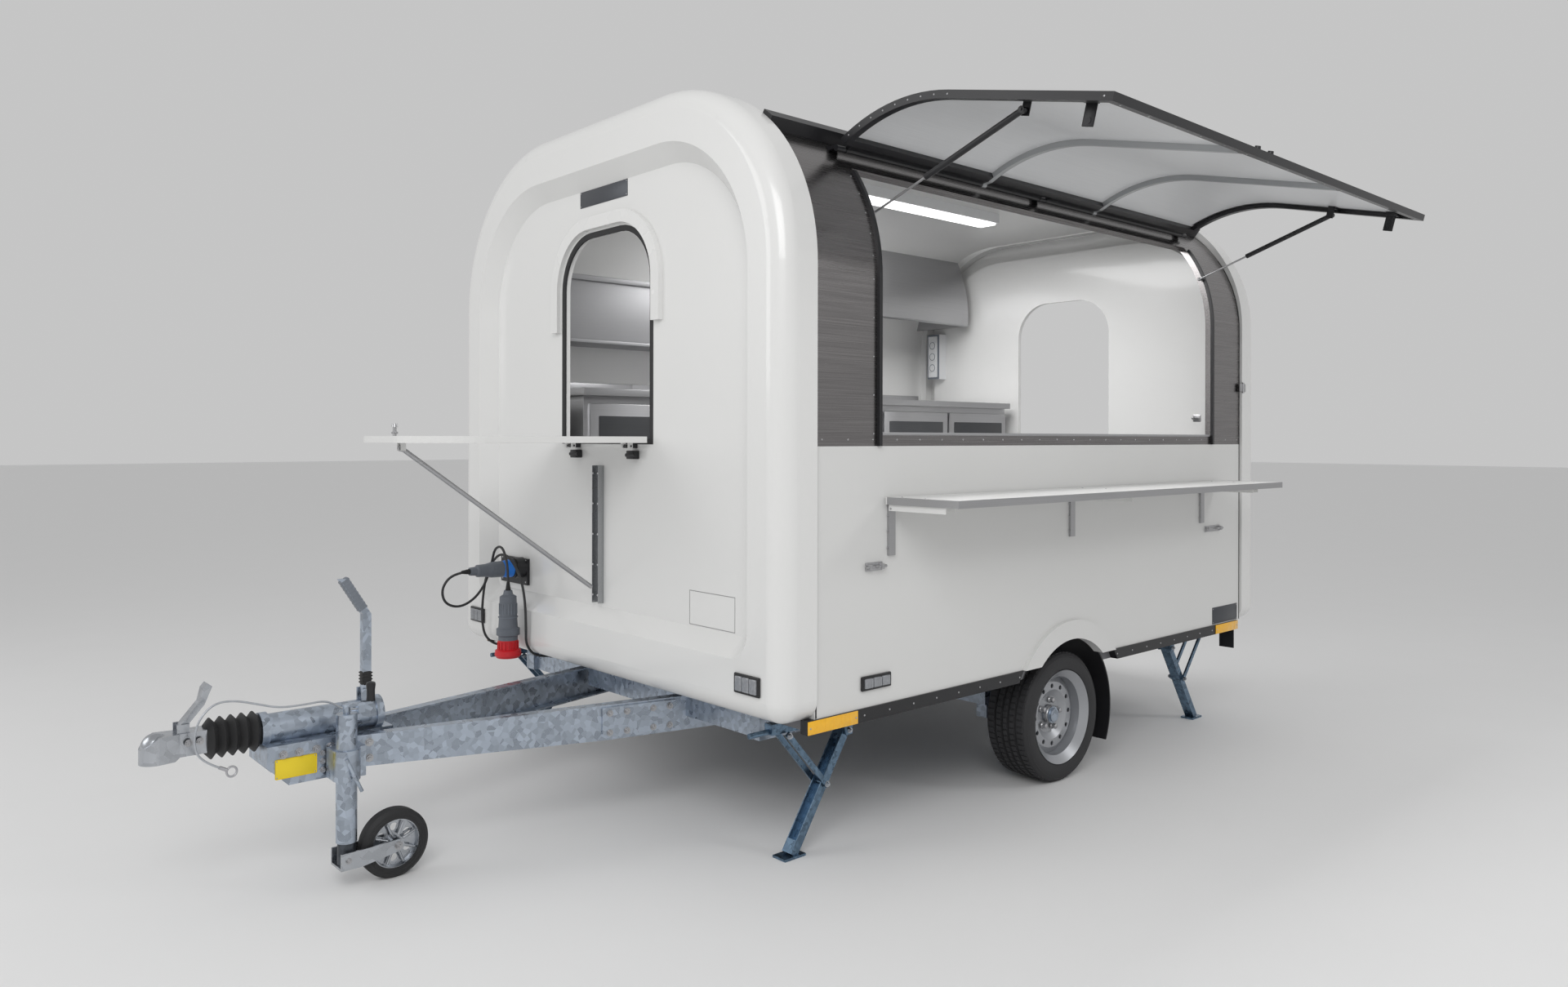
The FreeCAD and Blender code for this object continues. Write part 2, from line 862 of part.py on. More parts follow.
window_points = [
    (S["WindowHalf"], S["WindowBottom"]),
    (S["WindowHalf"], window_top - S["WindowRadius"], S["WindowRadius"], 1),
    (S["WindowHalf"] - S["WindowRadius"], window_top),
    (S["WindowRadius"] - S["WindowHalf"], window_top, S["WindowRadius"], 1),
    (-S["WindowHalf"], window_top - S["WindowRadius"]),
    (-S["WindowHalf"], S["WindowBottom"]),
]
door_points = [(p[0], door_low) + p[2:] if p[1] is S["WindowBottom"] else p
               for p in window_points]
window_tool = pad("window_tool", "YZ", -inset, S["RingDepth"] * 2, window_points)
door_tool = pad("door_tool", "YZ", -length - S["RingDepth"] * 2, S["RingDepth"] * 3,
                door_points)
node("front_shell", cut("shell_with_window", shell_hollow, window_tool))
shell_mirror = mirror("shell_mirror", shell_hollow, (1, 0, 0), -length / 2)
node("rear_shell", cut("shell_with_door", shell_mirror, door_tool))

# Rear door, standing open against the shell
lap = S["DoorLap"]
pin_x = -length - S["PanelDepth"] - S["DoorPinOut"]
pin_y = S["WindowHalf"] + S["DoorPinSide"]
leaf_in = S["DoorPinOut"] - S["DoorGap"] - S["DoorThick"]
leaf_near = pin_y + S["DoorPinSide"] - lap
leaf_far = leaf_near + (S["WindowHalf"] + lap) * 2
leaf_radius = S["WindowRadius"] + lap
leaf_top = window_top + lap
door_leaf = pad(
    "door_leaf", "YZ", pin_x - leaf_in - S["DoorThick"], S["DoorThick"],
    [
        (leaf_near, door_low - lap),
        (leaf_far, door_low - lap),
        (leaf_far, leaf_top - leaf_radius, leaf_radius, 1),
        (leaf_far - leaf_radius, leaf_top),
        (leaf_near + leaf_radius, leaf_top, leaf_radius, 1),
        (leaf_near, leaf_top - leaf_radius),
    ],
)
door_parts = [door_leaf]
door_bores = []
door_ears = []
for label, height in (("low", S["DoorHingeLow"]), ("high", S["DoorHingeHigh"])):
    bottom = height - S["EarHalf"]
    reach = S["LeafLug"] + S["LugGap"]
    door_ears.append(fuse(
        f"door_ear_{label}",
        rod(f"door_eye_{label}", "Z", pin_x, pin_y, bottom, S["EarRadius"], S["EarHalf"] * 2),
        box(f"door_neck_{label}", pin_x, pin_y - S["EarRadius"], bottom, S["DoorPinOut"],
            S["EarRadius"] * 2, S["EarHalf"] * 2),
        rod(f"door_pin_{label}", "Z", pin_x, pin_y, bottom - reach, S["HingePin"],
            (S["EarHalf"] + reach) * 2),
    ))
    door_bores.append(rod(f"door_bore_{label}", "Z", pin_x, pin_y, bottom - reach,
                          S["HingePin"] + S["PinGap"], (S["EarHalf"] + reach) * 2))
    for end, start in (("under", bottom - reach), ("over", bottom + S["EarHalf"] * 2
                                                   + S["LugGap"])):
        door_parts.append(rod(f"door_knuckle_{label}_{end}", "Z", pin_x, pin_y, start,
                              S["EarRadius"], S["LeafLug"]))
        door_parts.append(box(f"door_strap_{label}_{end}", pin_x - leaf_in, pin_y, start,
                              leaf_in, S["StrapLong"], S["LeafLug"]))
node("rear_door", cut("door_bored", fuse("door_whole", *door_parts), *door_bores))

# Roof rail and the blocks that carry the hatch hinge pin
rail_low = S["RailLowAngle"]
rail_high = S["RailHighAngle"]
rail = pad(
    "rail_bar", "YZ", -length, length,
    [
        on_arc(rail_low, ZERO) + (S["RoofRadius"], 1),
        on_arc(rail_high, ZERO),
        on_arc(rail_high, -S["RailSide"]),
        on_arc(rail_low, -S["RailSide"]),
    ],
)
seal_wide = S["SealWide"]
seal_front = pad(
    "seal_front", "YZ", -S["OpeningInset"], seal_wide,
    [
        (S["SideHalf"], S["BeltHeight"]),
        (S["SideHalf"] + S["SealProud"], S["BeltHeight"]),
        (S["SideHalf"] + S["SealProud"], arc_base, S["RoofRadius"] + S["SealProud"], 1),
        on_arc(S["SealTopAngle"], -S["SealProud"]),
        on_arc(S["SealTopAngle"], ZERO) + (S["RoofRadius"], -1),
        (S["SideHalf"], arc_base),
    ],
)
seal_rear = group("seal_rear", seal_front)
put(seal_rear, S["OpeningInset"] - opening_rear - seal_wide, 0, 0)
node("gutter_rail", rail, seal_front, seal_rear)
hinge_y, hinge_z = on_arc(S["HatchHingeAngle"], -S["HatchHingeProud"])
hatch_long = hatch_rear - S["HatchInset"]
block_long = S["HingeBlockLong"]
block_low = S["HingeBlockAngle"]
block_high = S["HingeBlockTopAngle"]
hinge_starts = [
    -hatch_rear,
    -(hatch_rear + S["HatchInset"] + block_long) / 2,
    -S["HatchInset"] - block_long,
]
hinge_parts = [rod("hinge_pin", "X", -hatch_rear, hinge_y, hinge_z, S["HingePin"],
                   hatch_long)]
for number, start in enumerate(hinge_starts):
    hinge_parts.append(rod(f"hinge_eye_{number}", "X", start, hinge_y, hinge_z,
                           S["HingeKnuckle"], block_long))
    hinge_parts.append(pad(
        f"hinge_block_{number}", "YZ", start, block_long,
        [
            on_arc(block_low, ZERO) + (S["RoofRadius"], 1),
            on_arc(block_high, ZERO),
            (hinge_y, hinge_z + S["HingeKnuckle"]),
            (hinge_y, hinge_z),
        ],
    ))
node("hatch_hinge", fuse("hinge_whole", *hinge_parts))

# Serving hatch, shown open: the closed curve turned up about its hinge
hatch_low = S["BeltHeight"] - S["HatchDrop"]
strut_pin_y = S["SideHalf"] - S["StrutPinIn"]
strut_pin_z = hatch_low + S["StrutPinRise"]
strut_eye_y, strut_eye_z = on_arc(S["StrutEyeAngle"], S["StrutEyeInset"])
hatch_gap = S["HatchGap"]
hatch_in = -hatch_gap
hatch_out = -hatch_gap - S["HatchSkin"]
hatch_body = pad(
    "hatch_body", "YZ", -hatch_rear, hatch_rear - S["HatchInset"],
    [
        (S["SideHalf"] - hatch_out, hatch_low),
        (S["SideHalf"] - hatch_out, arc_base, S["RoofRadius"] - hatch_out, 1),
        on_arc(S["HatchTopAngle"], hatch_out),
        on_arc(S["HatchTopAngle"], hatch_in) + (S["RoofRadius"] - hatch_in, -1),
        (S["SideHalf"] - hatch_in, arc_base),
        (S["SideHalf"] - hatch_in, hatch_low),
    ],
)
frame_bar = S["HatchFrame"]
sheet = S["HatchSheet"]
bay_top = S["HatchBayAngle"]


def hatch_curve(name, start, long, low, top, near, far):
    """A piece of the hatch between two distances outside the wall's curve."""
    return pad(
        name, "YZ", start, long,
        [
            (S["SideHalf"] + far, low),
            (S["SideHalf"] + far, arc_base, S["RoofRadius"] + far, 1),
            on_arc(top, -far),
            on_arc(top, -near) + (S["RoofRadius"] + near, -1),
            (S["SideHalf"] + near, arc_base),
            (S["SideHalf"] + near, low),
        ],
    )


bay_low = hatch_low + frame_bar
bay_start = frame_bar - hatch_rear
bay_long = hatch_rear - S["HatchInset"] - frame_bar * 2
bay = hatch_curve("hatch_bay", bay_start, bay_long, bay_low, bay_top, ZERO,
                  hatch_gap + S["HatchSkin"] * 2)
skin = hatch_curve("hatch_sheet", bay_start, bay_long, bay_low, bay_top,
                   hatch_gap + S["HatchSkin"] - sheet, hatch_gap + S["HatchSkin"])
knuckle_parts = [cut("hatch_edge_frame", hatch_body, bay)]
rib_shares = (1 / 3, 2 / 3)
for number, share in enumerate(rib_shares):
    knuckle_parts.append(hatch_curve(
        f"hatch_rib_{number}", bay_start + bay_long * share - S["RibWide"] / 2, S["RibWide"],
        bay_low, bay_top, hatch_gap, hatch_gap + S["HatchSkin"] - sheet))
knuckle_ends = [
    (-hatch_rear + block_long + S["LugGap"], hinge_starts[1] - S["LugGap"]),
    (hinge_starts[1] + block_long + S["LugGap"], -S["HatchInset"] - block_long - S["LugGap"]),
]
for number, (start, end) in enumerate(knuckle_ends):
    knuckle_parts.append(rod(f"hatch_knuckle_{number}", "X", start, hinge_y, hinge_z,
                             S["HingeKnuckle"], end - start))
    knuckle_parts.append(pad(
        f"hatch_strap_{number}", "YZ", start, end - start,
        [
            on_arc(S["HatchTopAngle"], hatch_in),
            on_arc(S["HatchTopAngle"], hatch_out),
            (hinge_y, hinge_z + S["HingeKnuckle"] / 2),
            (hinge_y, hinge_z),
        ],
    ))
strut_spots = (
    ("front", -S["OpeningInset"] - S["StrutInset"], Size(-1.0, "-1")),
    ("rear", -opening_rear + S["StrutInset"], Size(1.0, "1")),
)
cheek_face = S["StrutTubeRadius"] + S["StrutCheekGap"]
plate_y = S["SideHalf"] + hatch_gap + S["HatchSkin"] - sheet - S["StrutPlate"]
plate_long = (S["OpeningInset"] + S["StrutInset"] + cheek_face + S["StrutCheek"]
              - S["HatchInset"] - frame_bar / 2)
plate_starts = {
    "front": -S["HatchInset"] - frame_bar / 2 - plate_long,
    "rear": frame_bar / 2 - hatch_rear,
}
for place, spot, way in strut_spots:
    knuckle_parts.append(box(
        f"strut_plate_{place}", plate_starts[place], plate_y,
        strut_pin_z - S["StrutCheekHalf"], plate_long, S["StrutPlate"],
        S["StrutCheekHalf"] * 2))
    side = (way.value - 1) / 2
    knuckle_parts.append(box(
        f"strut_cheek_{place}", spot + way * cheek_face + S["StrutCheek"] * side,
        strut_pin_y - S["StrutCheekHalf"], strut_pin_z - S["StrutCheekHalf"],
        S["StrutCheek"], plate_y - strut_pin_y + S["StrutCheekHalf"],
        S["StrutCheekHalf"] * 2))
    knuckle_parts.append(rod(
        f"strut_pin_{place}", "X", spot - cheek_face, strut_pin_y, strut_pin_z,
        S["StrutPinRadius"], cheek_face * 2))
hatch_bore = rod("hatch_bore", "X", -hatch_rear, hinge_y, hinge_z,
                 S["HingePin"] + S["PinGap"], hatch_long)
hatch_closed = cut("hatch_bored", fuse("hatch_whole", *knuckle_parts), hatch_bore)
swing = S["HatchSwing"]
turn_y, turn_z = swung(ZERO, ZERO, hinge_y, hinge_z, swing)
hatch_turn = FreeCAD.Rotation(FreeCAD.Vector(1, 0, 0), swing.value)
for name, closed in (("serving_hatch", skin), ("hatch_frame", hatch_closed)):
    opened = group(f"{name}_open", closed)
    node(name, put(opened, 0, turn_y, turn_z, hatch_turn, swing))

# Gas struts, drawn upright at the origin and then leant between their two ends
top_y, top_z = swung(strut_pin_y, strut_pin_z, hinge_y, hinge_z, swing)
strut_run = top_y - strut_eye_y
strut_rise = top_z - strut_eye_z
strut_open = length_of(strut_rise, strut_run)
strut_lean = -bearing(strut_run, strut_rise)
tube_wide = S["StrutTubeRadius"]
rod_long = strut_open - S["StrutTubeLong"] + S["StrutRodInside"]
for place, spot, way in strut_spots:
    tube = cut(
        f"strut_tube_{place}_bored",
        fuse(
            f"strut_tube_{place}_whole",
            rod(f"strut_tube_{place}_bar", "Z", 0, 0, -S["StrutTubeLong"], tube_wide,
                S["StrutTubeLong"]),
            rod(f"strut_tube_{place}_eye", "X", -tube_wide, 0, 0, tube_wide, tube_wide * 2),
        ),
        rod(f"strut_tube_{place}_pin", "X", -tube_wide * 2, 0, 0,
            S["StrutPinRadius"] + S["PinGap"], tube_wide * 4),
        rod(f"strut_tube_{place}_bore", "Z", 0, 0, -S["StrutTubeLong"] - tube_wide,
            S["StrutRodRadius"] + S["StrutRodGap"],
            S["StrutTubeLong"] + tube_wide - S["StrutBoreEnd"]),
    )
    bar = fuse(
        f"strut_rod_{place}_whole",
        rod(f"strut_rod_{place}_bar", "Z", 0, 0, -strut_open, S["StrutRodRadius"], rod_long),
        ball(f"strut_rod_{place}_ball", 0, 0, -strut_open, S["StrutBallRadius"]),
        rod(f"strut_rod_{place}_stud", "X",
            -(S["StrutInset"] - S["PinGap"]) * ((1 + way.value) / 2), 0, -strut_open,
            S["StrutRodRadius"], S["StrutInset"] - S["PinGap"]),
    )
    lean = FreeCAD.Rotation(FreeCAD.Vector(1, 0, 0), strut_lean.value)
    node(f"strut_tube_{place}",
         put(group(f"strut_tube_{place}_set", tube), spot, top_y, top_z, lean, strut_lean))
    node(f"strut_rod_{place}",
         put(group(f"strut_rod_{place}_set", bar), spot, top_y, top_z, lean, strut_lean))

# Chassis
rail_y = S["SideHalf"] - S["SideRailIn"]
rail_left = box("side_rail_left", -length + S["RailFrontX"], rail_y,
                S["SideRailBottom"], length - S["RailFrontX"] * 2, S["SideRailWide"],
                S["FloorBottom"] - S["SideRailBottom"])
rail_right = mirror("side_rail_right", rail_left, (0, 1, 0))
crosses = []
cross_shares = (0.01, 0.25, 0.5, 0.75, 0.97)
for number, share in enumerate(cross_shares):
    crosses.append(box(f"cross_{number}", -length * share - S["CrossWide"],
                       -rail_y, S["SideRailBottom"], S["CrossWide"],
                       rail_y * 2, S["FloorBottom"] - S["SideRailBottom"]))
draw_top = S["DrawTop"]
draw_long = S["DrawFrontX"] + S["DrawRearX"]
draw_y = S["DrawFrontY"]
slope = S["DrawSlopeShare"]
rear_y = draw_y + slope * draw_long
rail_plan = [
    (S["DrawFrontX"], draw_y),
    (-S["DrawRearX"], rear_y),
    (-S["DrawRearX"], rear_y - S["DrawFlange"]),
    (S["DrawFrontX"], draw_y - S["DrawFlange"]),
]
plan_pad = pad("draw_plan", "XY", draw_top - S["DrawDeep"] * 2, S["DrawDeep"] * 2, rail_plan)
web = S["DrawWeb"]
hollow_plan = [
    (S["DrawFrontX"] + web, draw_y - web),
    (-S["DrawRearX"] - web, rear_y - web),
    (-S["DrawRearX"] - web, rear_y - S["DrawFlange"] * 2),
    (S["DrawFrontX"] + web, draw_y - S["DrawFlange"] * 2),
]
side_view = pad(
    "draw_side", "XZ", S["SideHalf"], S["SideHalf"],
    [
        (S["DrawFrontX"] + web * 2, draw_top),
        (-S["DrawRearX"] - web * 2, draw_top),
        (-S["DrawRearX"] - web * 2, draw_top - S["DrawDeep"]),
        (S["DrawTaperX"], draw_top - S["DrawDeep"]),
        (S["DrawFrontX"] + web * 2, draw_top - S["DrawHeight"]),
    ],
)
side_hollow = pad(
    "draw_side_hollow", "XZ", S["SideHalf"], S["SideHalf"],
    [
        (S["DrawFrontX"] + web * 3, draw_top - web),
        (-S["DrawRearX"] - web * 3, draw_top - web),
        (-S["DrawRearX"] - web * 3, draw_top - S["DrawDeep"] + web),
        (S["DrawTaperX"], draw_top - S["DrawDeep"] + web),
        (S["DrawFrontX"] + web * 3, draw_top - S["DrawHeight"] + web),
    ],
)
draw_solid = common("draw_solid", plan_pad, side_view)
hollow_pad = pad("draw_hollow_plan", "XY", draw_top - S["DrawDeep"] * 2, S["DrawDeep"] * 2,
                 hollow_plan)
draw_hollow = common("draw_hollow", hollow_pad, side_hollow)
draw_left = cut("draw_left", draw_solid, draw_hollow)
node("drawbar_rails", draw_left, mirror("draw_right", draw_left, (0, 1, 0)))
chassis = fuse("chassis_whole", rail_left, rail_right, *crosses)
draw_both = group("draw_both", draw_solid, mirror("draw_solid_right", draw_solid, (0, 1, 0)))
node("chassis_frame", cut("chassis_notched", chassis, draw_both))

# Overrun device
housing_parts = [
    cut(
        "housing_bracket",
        pad(
            "housing_block", "XZ", S["HousingHalf"], S["HousingHalf"] * 2,
            [
                (S["DrawFrontX"], S["HousingBottom"]),
                (S["HousingFront"] - S["HousingSlope"], S["HousingBottom"]),
                (S["HousingFront"], S["HousingBottom"] + S["HousingSlope"]),
                (S["HousingFront"], S["HousingTop"]),
                (S["DrawFrontX"], S["HousingTop"]),
            ],
        ),
        box("housing_inside", S["DrawFrontX"] + S["HousingPlate"],
            S["HousingPlate"] - S["HousingHalf"], S["HousingBottom"] - S["HousingPlate"],
            S["HousingFront"] - S["DrawFrontX"] - S["HousingPlate"] * 2,
            (S["HousingHalf"] - S["HousingPlate"]) * 2,
            S["HousingTop"] - S["HousingBottom"]),
    ),
    rod("housing_collar_front", "X", S["HousingFront"] - S["CollarLong"], 0, S["TubeZ"],
        S["CollarRadius"], S["CollarLong"]),
    rod("housing_collar_rear", "X", S["TubeRear"], 0, S["TubeZ"], S["CollarRadius"],
        S["CollarLong"]),
    box("housing_tongue", S["HousingRear"], -S["TongueHalf"], S["TongueBottom"],
        S["DrawFrontX"] - S["HousingRear"], S["TongueHalf"] * 2,
        S["TongueTop"] - S["TongueBottom"]),
    rod("housing_tube", "X", S["TubeRear"], 0, S["TubeZ"], S["TubeRadius"],
        S["HousingFront"] - S["TubeRear"]),
]
bellows_long = S["BellowsFront"] - S["HousingFront"]
BELLOWS_FOLDS = 5
root_share, crest_share, middle_share = 0.72, 1.0, 0.5
fold_shares = [(0, 0), (0, root_share)]
for fold in range(BELLOWS_FOLDS):
    fold_shares += [((fold + middle_share) / BELLOWS_FOLDS, crest_share),
                    ((fold + 1) / BELLOWS_FOLDS, root_share)]
fold_shares.append((1, 0))
bellows = round_part("bellows_turn", bellows_long, S["BellowsRadius"], fold_shares)
node("bellows", put(group("bellows_set", bellows), S["HousingFront"], 0, S["TubeZ"]))
nose_x = S["CupX"] + S["CupRadius"]
head_plan = pad(
    "head_plan", "XY", S["CupBottom"], S["CupTop"] - S["CupBottom"] + S["HeadRise"],
    [
        (S["BellowsFront"], -S["CouplingNeckRadius"]),
        (S["HeadFlareX"], -S["CouplingNeckRadius"]),
        (S["CupX"], -S["CupRadius"], S["CupRadius"], 1),
        (nose_x, ZERO, S["CupRadius"], 1),
        (S["CupX"], S["CupRadius"]),
        (S["HeadFlareX"], S["CouplingNeckRadius"]),
        (S["BellowsFront"], S["CouplingNeckRadius"]),
    ],
)
head_side = pad(
    "head_side", "XZ", S["CupRadius"], S["CupRadius"] * 2,
    [
        (S["BellowsFront"], S["TubeZ"] - S["CouplingNeckRadius"]),
        (S["HeadFlareX"], S["TubeZ"] - S["CouplingNeckRadius"]),
        (S["CupX"] - S["CupRadius"], S["CupBottom"]),
        (nose_x, S["CupBottom"]),
        (nose_x, S["HeadNoseZ"]),
        (S["CupX"], S["CupTop"]),
        (S["BellowsFront"], S["CupTop"]),
    ],
)
cup = fuse(
    "cup_whole",
    common("head_met", head_plan, head_side),
    ball("head_dome", S["CupX"], 0, S["CupTop"] + S["HeadRise"] - S["DomeRadius"],
         S["DomeRadius"]),
)
socket = ball("cup_socket", S["CupX"], 0, S["BallZ"], S["BallRadius"])
socket_way = rod("cup_way", "Z", S["CupX"], 0, 0, S["BallRadius"], S["BallZ"])
handle_ears = []
for side, start in (("left", S["HandleWide"] / 2 + S["HandleGap"]),
                    ("right", -S["HandleWide"] / 2 - S["HandleGap"]
                     - S["HandleEarThick"])):
    handle_ears.append(box(
        f"handle_ear_{side}", S["HandleX"] - S["HandleEarHalf"], start, S["TubeZ"],
        S["HandleEarHalf"] * 2, S["HandleEarThick"],
        S["HandleZ"] + S["HandleThick"] / 2 - S["TubeZ"]))
handle_pin = rod("handle_pin", "Y", S["HandleX"], -S["HandleWide"] / 2 - S["HandleGap"],
                 S["HandleZ"], S["HingePin"], S["HandleWide"] + S["HandleGap"] * 2)
node("coupling_head", fuse("head_whole", cut("cup_open", cup, socket, socket_way), handle_pin,
                           *handle_ears))
handle_half = S["HandleThick"] / 2
handle = cut(
    "handle_bored",
    fuse(
        "handle_whole",
        pad(
            "handle_bar", "XZ", S["HandleWide"] / 2, S["HandleWide"],
            [
                (handle_half, ZERO),
                (handle_half, S["HandleLong"] - S["HandleHook"] * 3),
                (handle_half + S["HandleHook"], S["HandleLong"] - S["HandleHook"]),
                (handle_half + S["HandleHook"], S["HandleLong"]),
                (handle_half, S["HandleLong"]),
                (-handle_half, S["HandleLong"] - S["HandleHook"] * 3),
                (-handle_half, ZERO),
            ],
        ),
        rod("handle_eye", "Y", 0, -S["HandleWide"] / 2, 0, handle_half, S["HandleWide"]),
    ),
    rod("handle_bore", "Y", 0, -S["HandleWide"], 0, S["HingePin"] + S["PinGap"],
        S["HandleWide"] * 2),
)
handle_tilt = -S["HandleTilt"]
node("coupling_handle",
     put(group("handle_set", handle), S["HandleX"], 0, S["HandleZ"],
         FreeCAD.Rotation(FreeCAD.Vector(0, 1, 0), handle_tilt.value), handle_tilt))

# Hand brake lever between two ears on the overrun tube
lever_half = S["LeverThick"]
lever = cut(
    "lever_bored",
    fuse(
        "lever_whole",
        pad(
            "lever_bar", "XZ", S["LeverWide"] / 2, S["LeverWide"],
            [
                (S["LeverX"] - lever_half, S["LeverZ"]),
                (S["LeverX"] + lever_half, S["LeverZ"]),
                (S["LeverX"] + lever_half, S["LeverZ"] + S["LeverLong"]),
                (S["LeverX"] + S["LeverTipX"] + lever_half, S["LeverZ"] + S["LeverTipZ"]),
                (S["LeverX"] + S["LeverTipX"] - lever_half, S["LeverZ"] + S["LeverTipZ"]),
                (S["LeverX"] - lever_half, S["LeverZ"] + S["LeverLong"]),
            ],
        ),
        rod("lever_eye", "Y", S["LeverX"], -S["LeverWide"] / 2, S["LeverZ"], lever_half,
            S["LeverWide"]),
    ),
    rod("lever_bore", "Y", S["LeverX"], -S["LeverWide"], S["LeverZ"],
        S["PinRadius"] + S["PinGap"], S["LeverWide"] * 2),
)
node("handbrake_lever", lever)
for side, start in (("left", S["LeverWide"] / 2 + S["LugGap"]),
                    ("right", -S["LeverWide"] / 2 - S["LugGap"] - S["LeverEarThick"])):
    housing_parts.append(box(
        f"lever_ear_{side}", S["LeverX"] - S["LeverEarHalf"], start, S["TubeZ"],
        S["LeverEarHalf"] * 2, S["LeverEarThick"], S["LeverZ"] + lever_half - S["TubeZ"]))
housing_parts.append(rod("lever_pin", "Y", S["LeverX"], -S["LeverWide"] / 2 - S["LugGap"],
                         S["LeverZ"], S["PinRadius"], S["LeverWide"] + S["LugGap"] * 2))
housing_parts.append(box("cable_anchor", S["AnchorX"], S["AnchorIn"], S["AnchorLow"],
                         S["AnchorLong"], S["AnchorWide"], S["AnchorHigh"]))
node("overrun_housing", fuse("housing_whole", *housing_parts))

# Jockey wheel
jx = S["JockeyX"]
jy = S["JockeyY"]
tube_bore = rod("jockey_bore", "Z", jx, jy, 0, S["JockeyBore"], S["JockeyTop"] - S["ForkPlate"])
clamp_ring = rod("jockey_ring", "Z", jx, jy, S["ClampBottom"], S["ClampRadius"],
                 S["ClampTop"] - S["ClampBottom"])
clamp_block = box("clamp_block", S["ClampX"], S["DrawFrontY"] + slope * (S["DrawFrontX"]
                  - S["ClampX"]), S["ClampBottom"], S["ClampLong"],
                  jy - S["DrawFrontY"] - slope * (S["DrawFrontX"] - S["ClampX"]),
                  S["ClampTop"] - S["ClampBottom"])
outer_tube = rod("jockey_tube", "Z", jx, jy, S["JockeyTubeBottom"], S["JockeyTubeRadius"],
                 S["JockeyTop"] - S["JockeyTubeBottom"])
crank_z = S["JockeyTop"] + S["CrankRise"]
crank_shaft = rod("crank_shaft", "Z", jx, jy, S["JockeyTop"], S["CrankRadius"],
                  S["CrankRise"] - S["CrankThick"])
crank_half = S["CrankRadius"] + S["CrankLip"]
crank_arm = pad(
    "crank_arm", "XY", crank_z - S["CrankThick"], S["CrankThick"],
    [
        (jx, jy + crank_half),
        (jx - S["CrankLong"], jy + crank_half, crank_half, 1),
        (jx - S["CrankLong"] - crank_half, jy, crank_half, 1),
        (jx - S["CrankLong"], jy - crank_half),
        (jx, jy - crank_half, crank_half, 1),
        (jx + crank_half, jy, crank_half, 1),
    ],
)
crank_knob = rod("crank_knob", "Z", jx - S["CrankLong"], jy, crank_z,
                 S["KnobRadius"], S["KnobLong"])
clamp_screw = rod("clamp_screw", "Y", jx, jy + S["JockeyTubeRadius"], S["ClampScrewZ"],
                  S["PinRadius"],
                  S["ClampRadius"] + S["ClampScrewOut"] - S["JockeyTubeRadius"])
clamp_bar = rod("clamp_bar", "Z", 0, 0, -S["ClampBarLong"] / 2, S["ClampBarRadius"],
                S["ClampBarLong"])
clamp_lever = put(group("clamp_lever", clamp_bar), jx, jy + S["ClampRadius"] + S["ClampScrewOut"],
                  S["ClampScrewZ"], FreeCAD.Rotation(FreeCAD.Vector(0, 1, 0),
                                                     S["ClampLean"].value), S["ClampLean"])
node("jockey_outer_tube",
     cut("jockey_tube_bored",
         fuse("jockey_tube_whole", outer_tube, clamp_ring, clamp_block), tube_bore),
     fuse("clamp_whole", cut("clamp_screw_seated", clamp_screw, clamp_ring), clamp_lever),
     fuse("crank_whole", crank_shaft, crank_arm, crank_knob))
inner_tube = rod("jockey_inner", "Z", jx, jy, S["JockeyInnerBottom"],
                 S["JockeyInnerRadius"], S["JockeyInnerTop"] - S["JockeyInnerBottom"])
king_hole = rod("king_hole", "Z", jx, jy, S["JockeyInnerBottom"] - S["ForkPlate"],
                S["KingPin"] + S["PinGap"], S["KingPinLong"] + S["ForkPlate"] * 2)
node("jockey_inner_tube", cut("jockey_inner_bored", inner_tube, king_hole))
fork_x = S["JockeyX"] + S["ForkFront"]
axle_x = S["JockeyWheelX"]
axle_z = S["JockeyWheelRadius"]
boss = S["ForkBoss"]
fork_view = [
    (fork_x, S["ForkBottom"]),
    (fork_x, S["ForkTop"]),
    (S["JockeyX"] - S["ForkFront"], S["ForkTop"]),
    (axle_x, axle_z + boss, boss, 1),
    (axle_x - boss, axle_z, boss, 1),
    (axle_x, axle_z - boss),
    (S["JockeyX"] - S["ForkFront"], S["ForkBottom"]),
]
plate_left = pad("fork_left", "XZ", jy + S["ForkHalf"] + S["ForkPlate"], S["ForkPlate"],
                 fork_view)
plate_right = pad("fork_right", "XZ", jy - S["ForkHalf"], S["ForkPlate"], fork_view)
fork_base = box("fork_base", S["JockeyX"] - S["ForkFront"] / 2, jy - S["ForkHalf"],
                S["ForkBottom"], S["ForkBaseLong"], S["ForkHalf"] * 2,
                S["JockeyInnerBottom"] - S["ForkBottom"] - S["ForkBaseGap"])
fork_pin = rod("fork_pin", "Y", S["JockeyWheelX"], jy - S["ForkHalf"] - S["ForkPlate"],
               S["JockeyWheelRadius"], S["JockeyPin"], (S["ForkHalf"] + S["ForkPlate"]) * 2)
king_pin = rod("king_pin", "Z", jx, jy, S["ForkBottom"], S["KingPin"],
               S["JockeyInnerBottom"] - S["ForkBottom"] + S["KingPinLong"])
node("jockey_fork",
     fuse("fork_whole", plate_left, plate_right, fork_base, fork_pin, king_pin))
tread_half = S["JockeyWheelHalf"]
rim_edge = S["JockeyRimRadius"]
rounding = S["JockeyRounding"]
roller_turn = turned(
    "jockey_tyre_turn", "YZ", axle_x, "H_Axis",
    [
        (-tread_half, rim_edge),
        (tread_half, rim_edge),
        (tread_half, axle_z - rounding * 2),
        (tread_half - rounding * 2, axle_z),
        (rounding * 2 - tread_half, axle_z),
        (-tread_half, axle_z - rounding * 2),
    ],
)
node("jockey_wheel", put(group("jockey_tyre_set", roller_turn), 0, jy, axle_z))
web_half = S["ForkPlate"] / 2
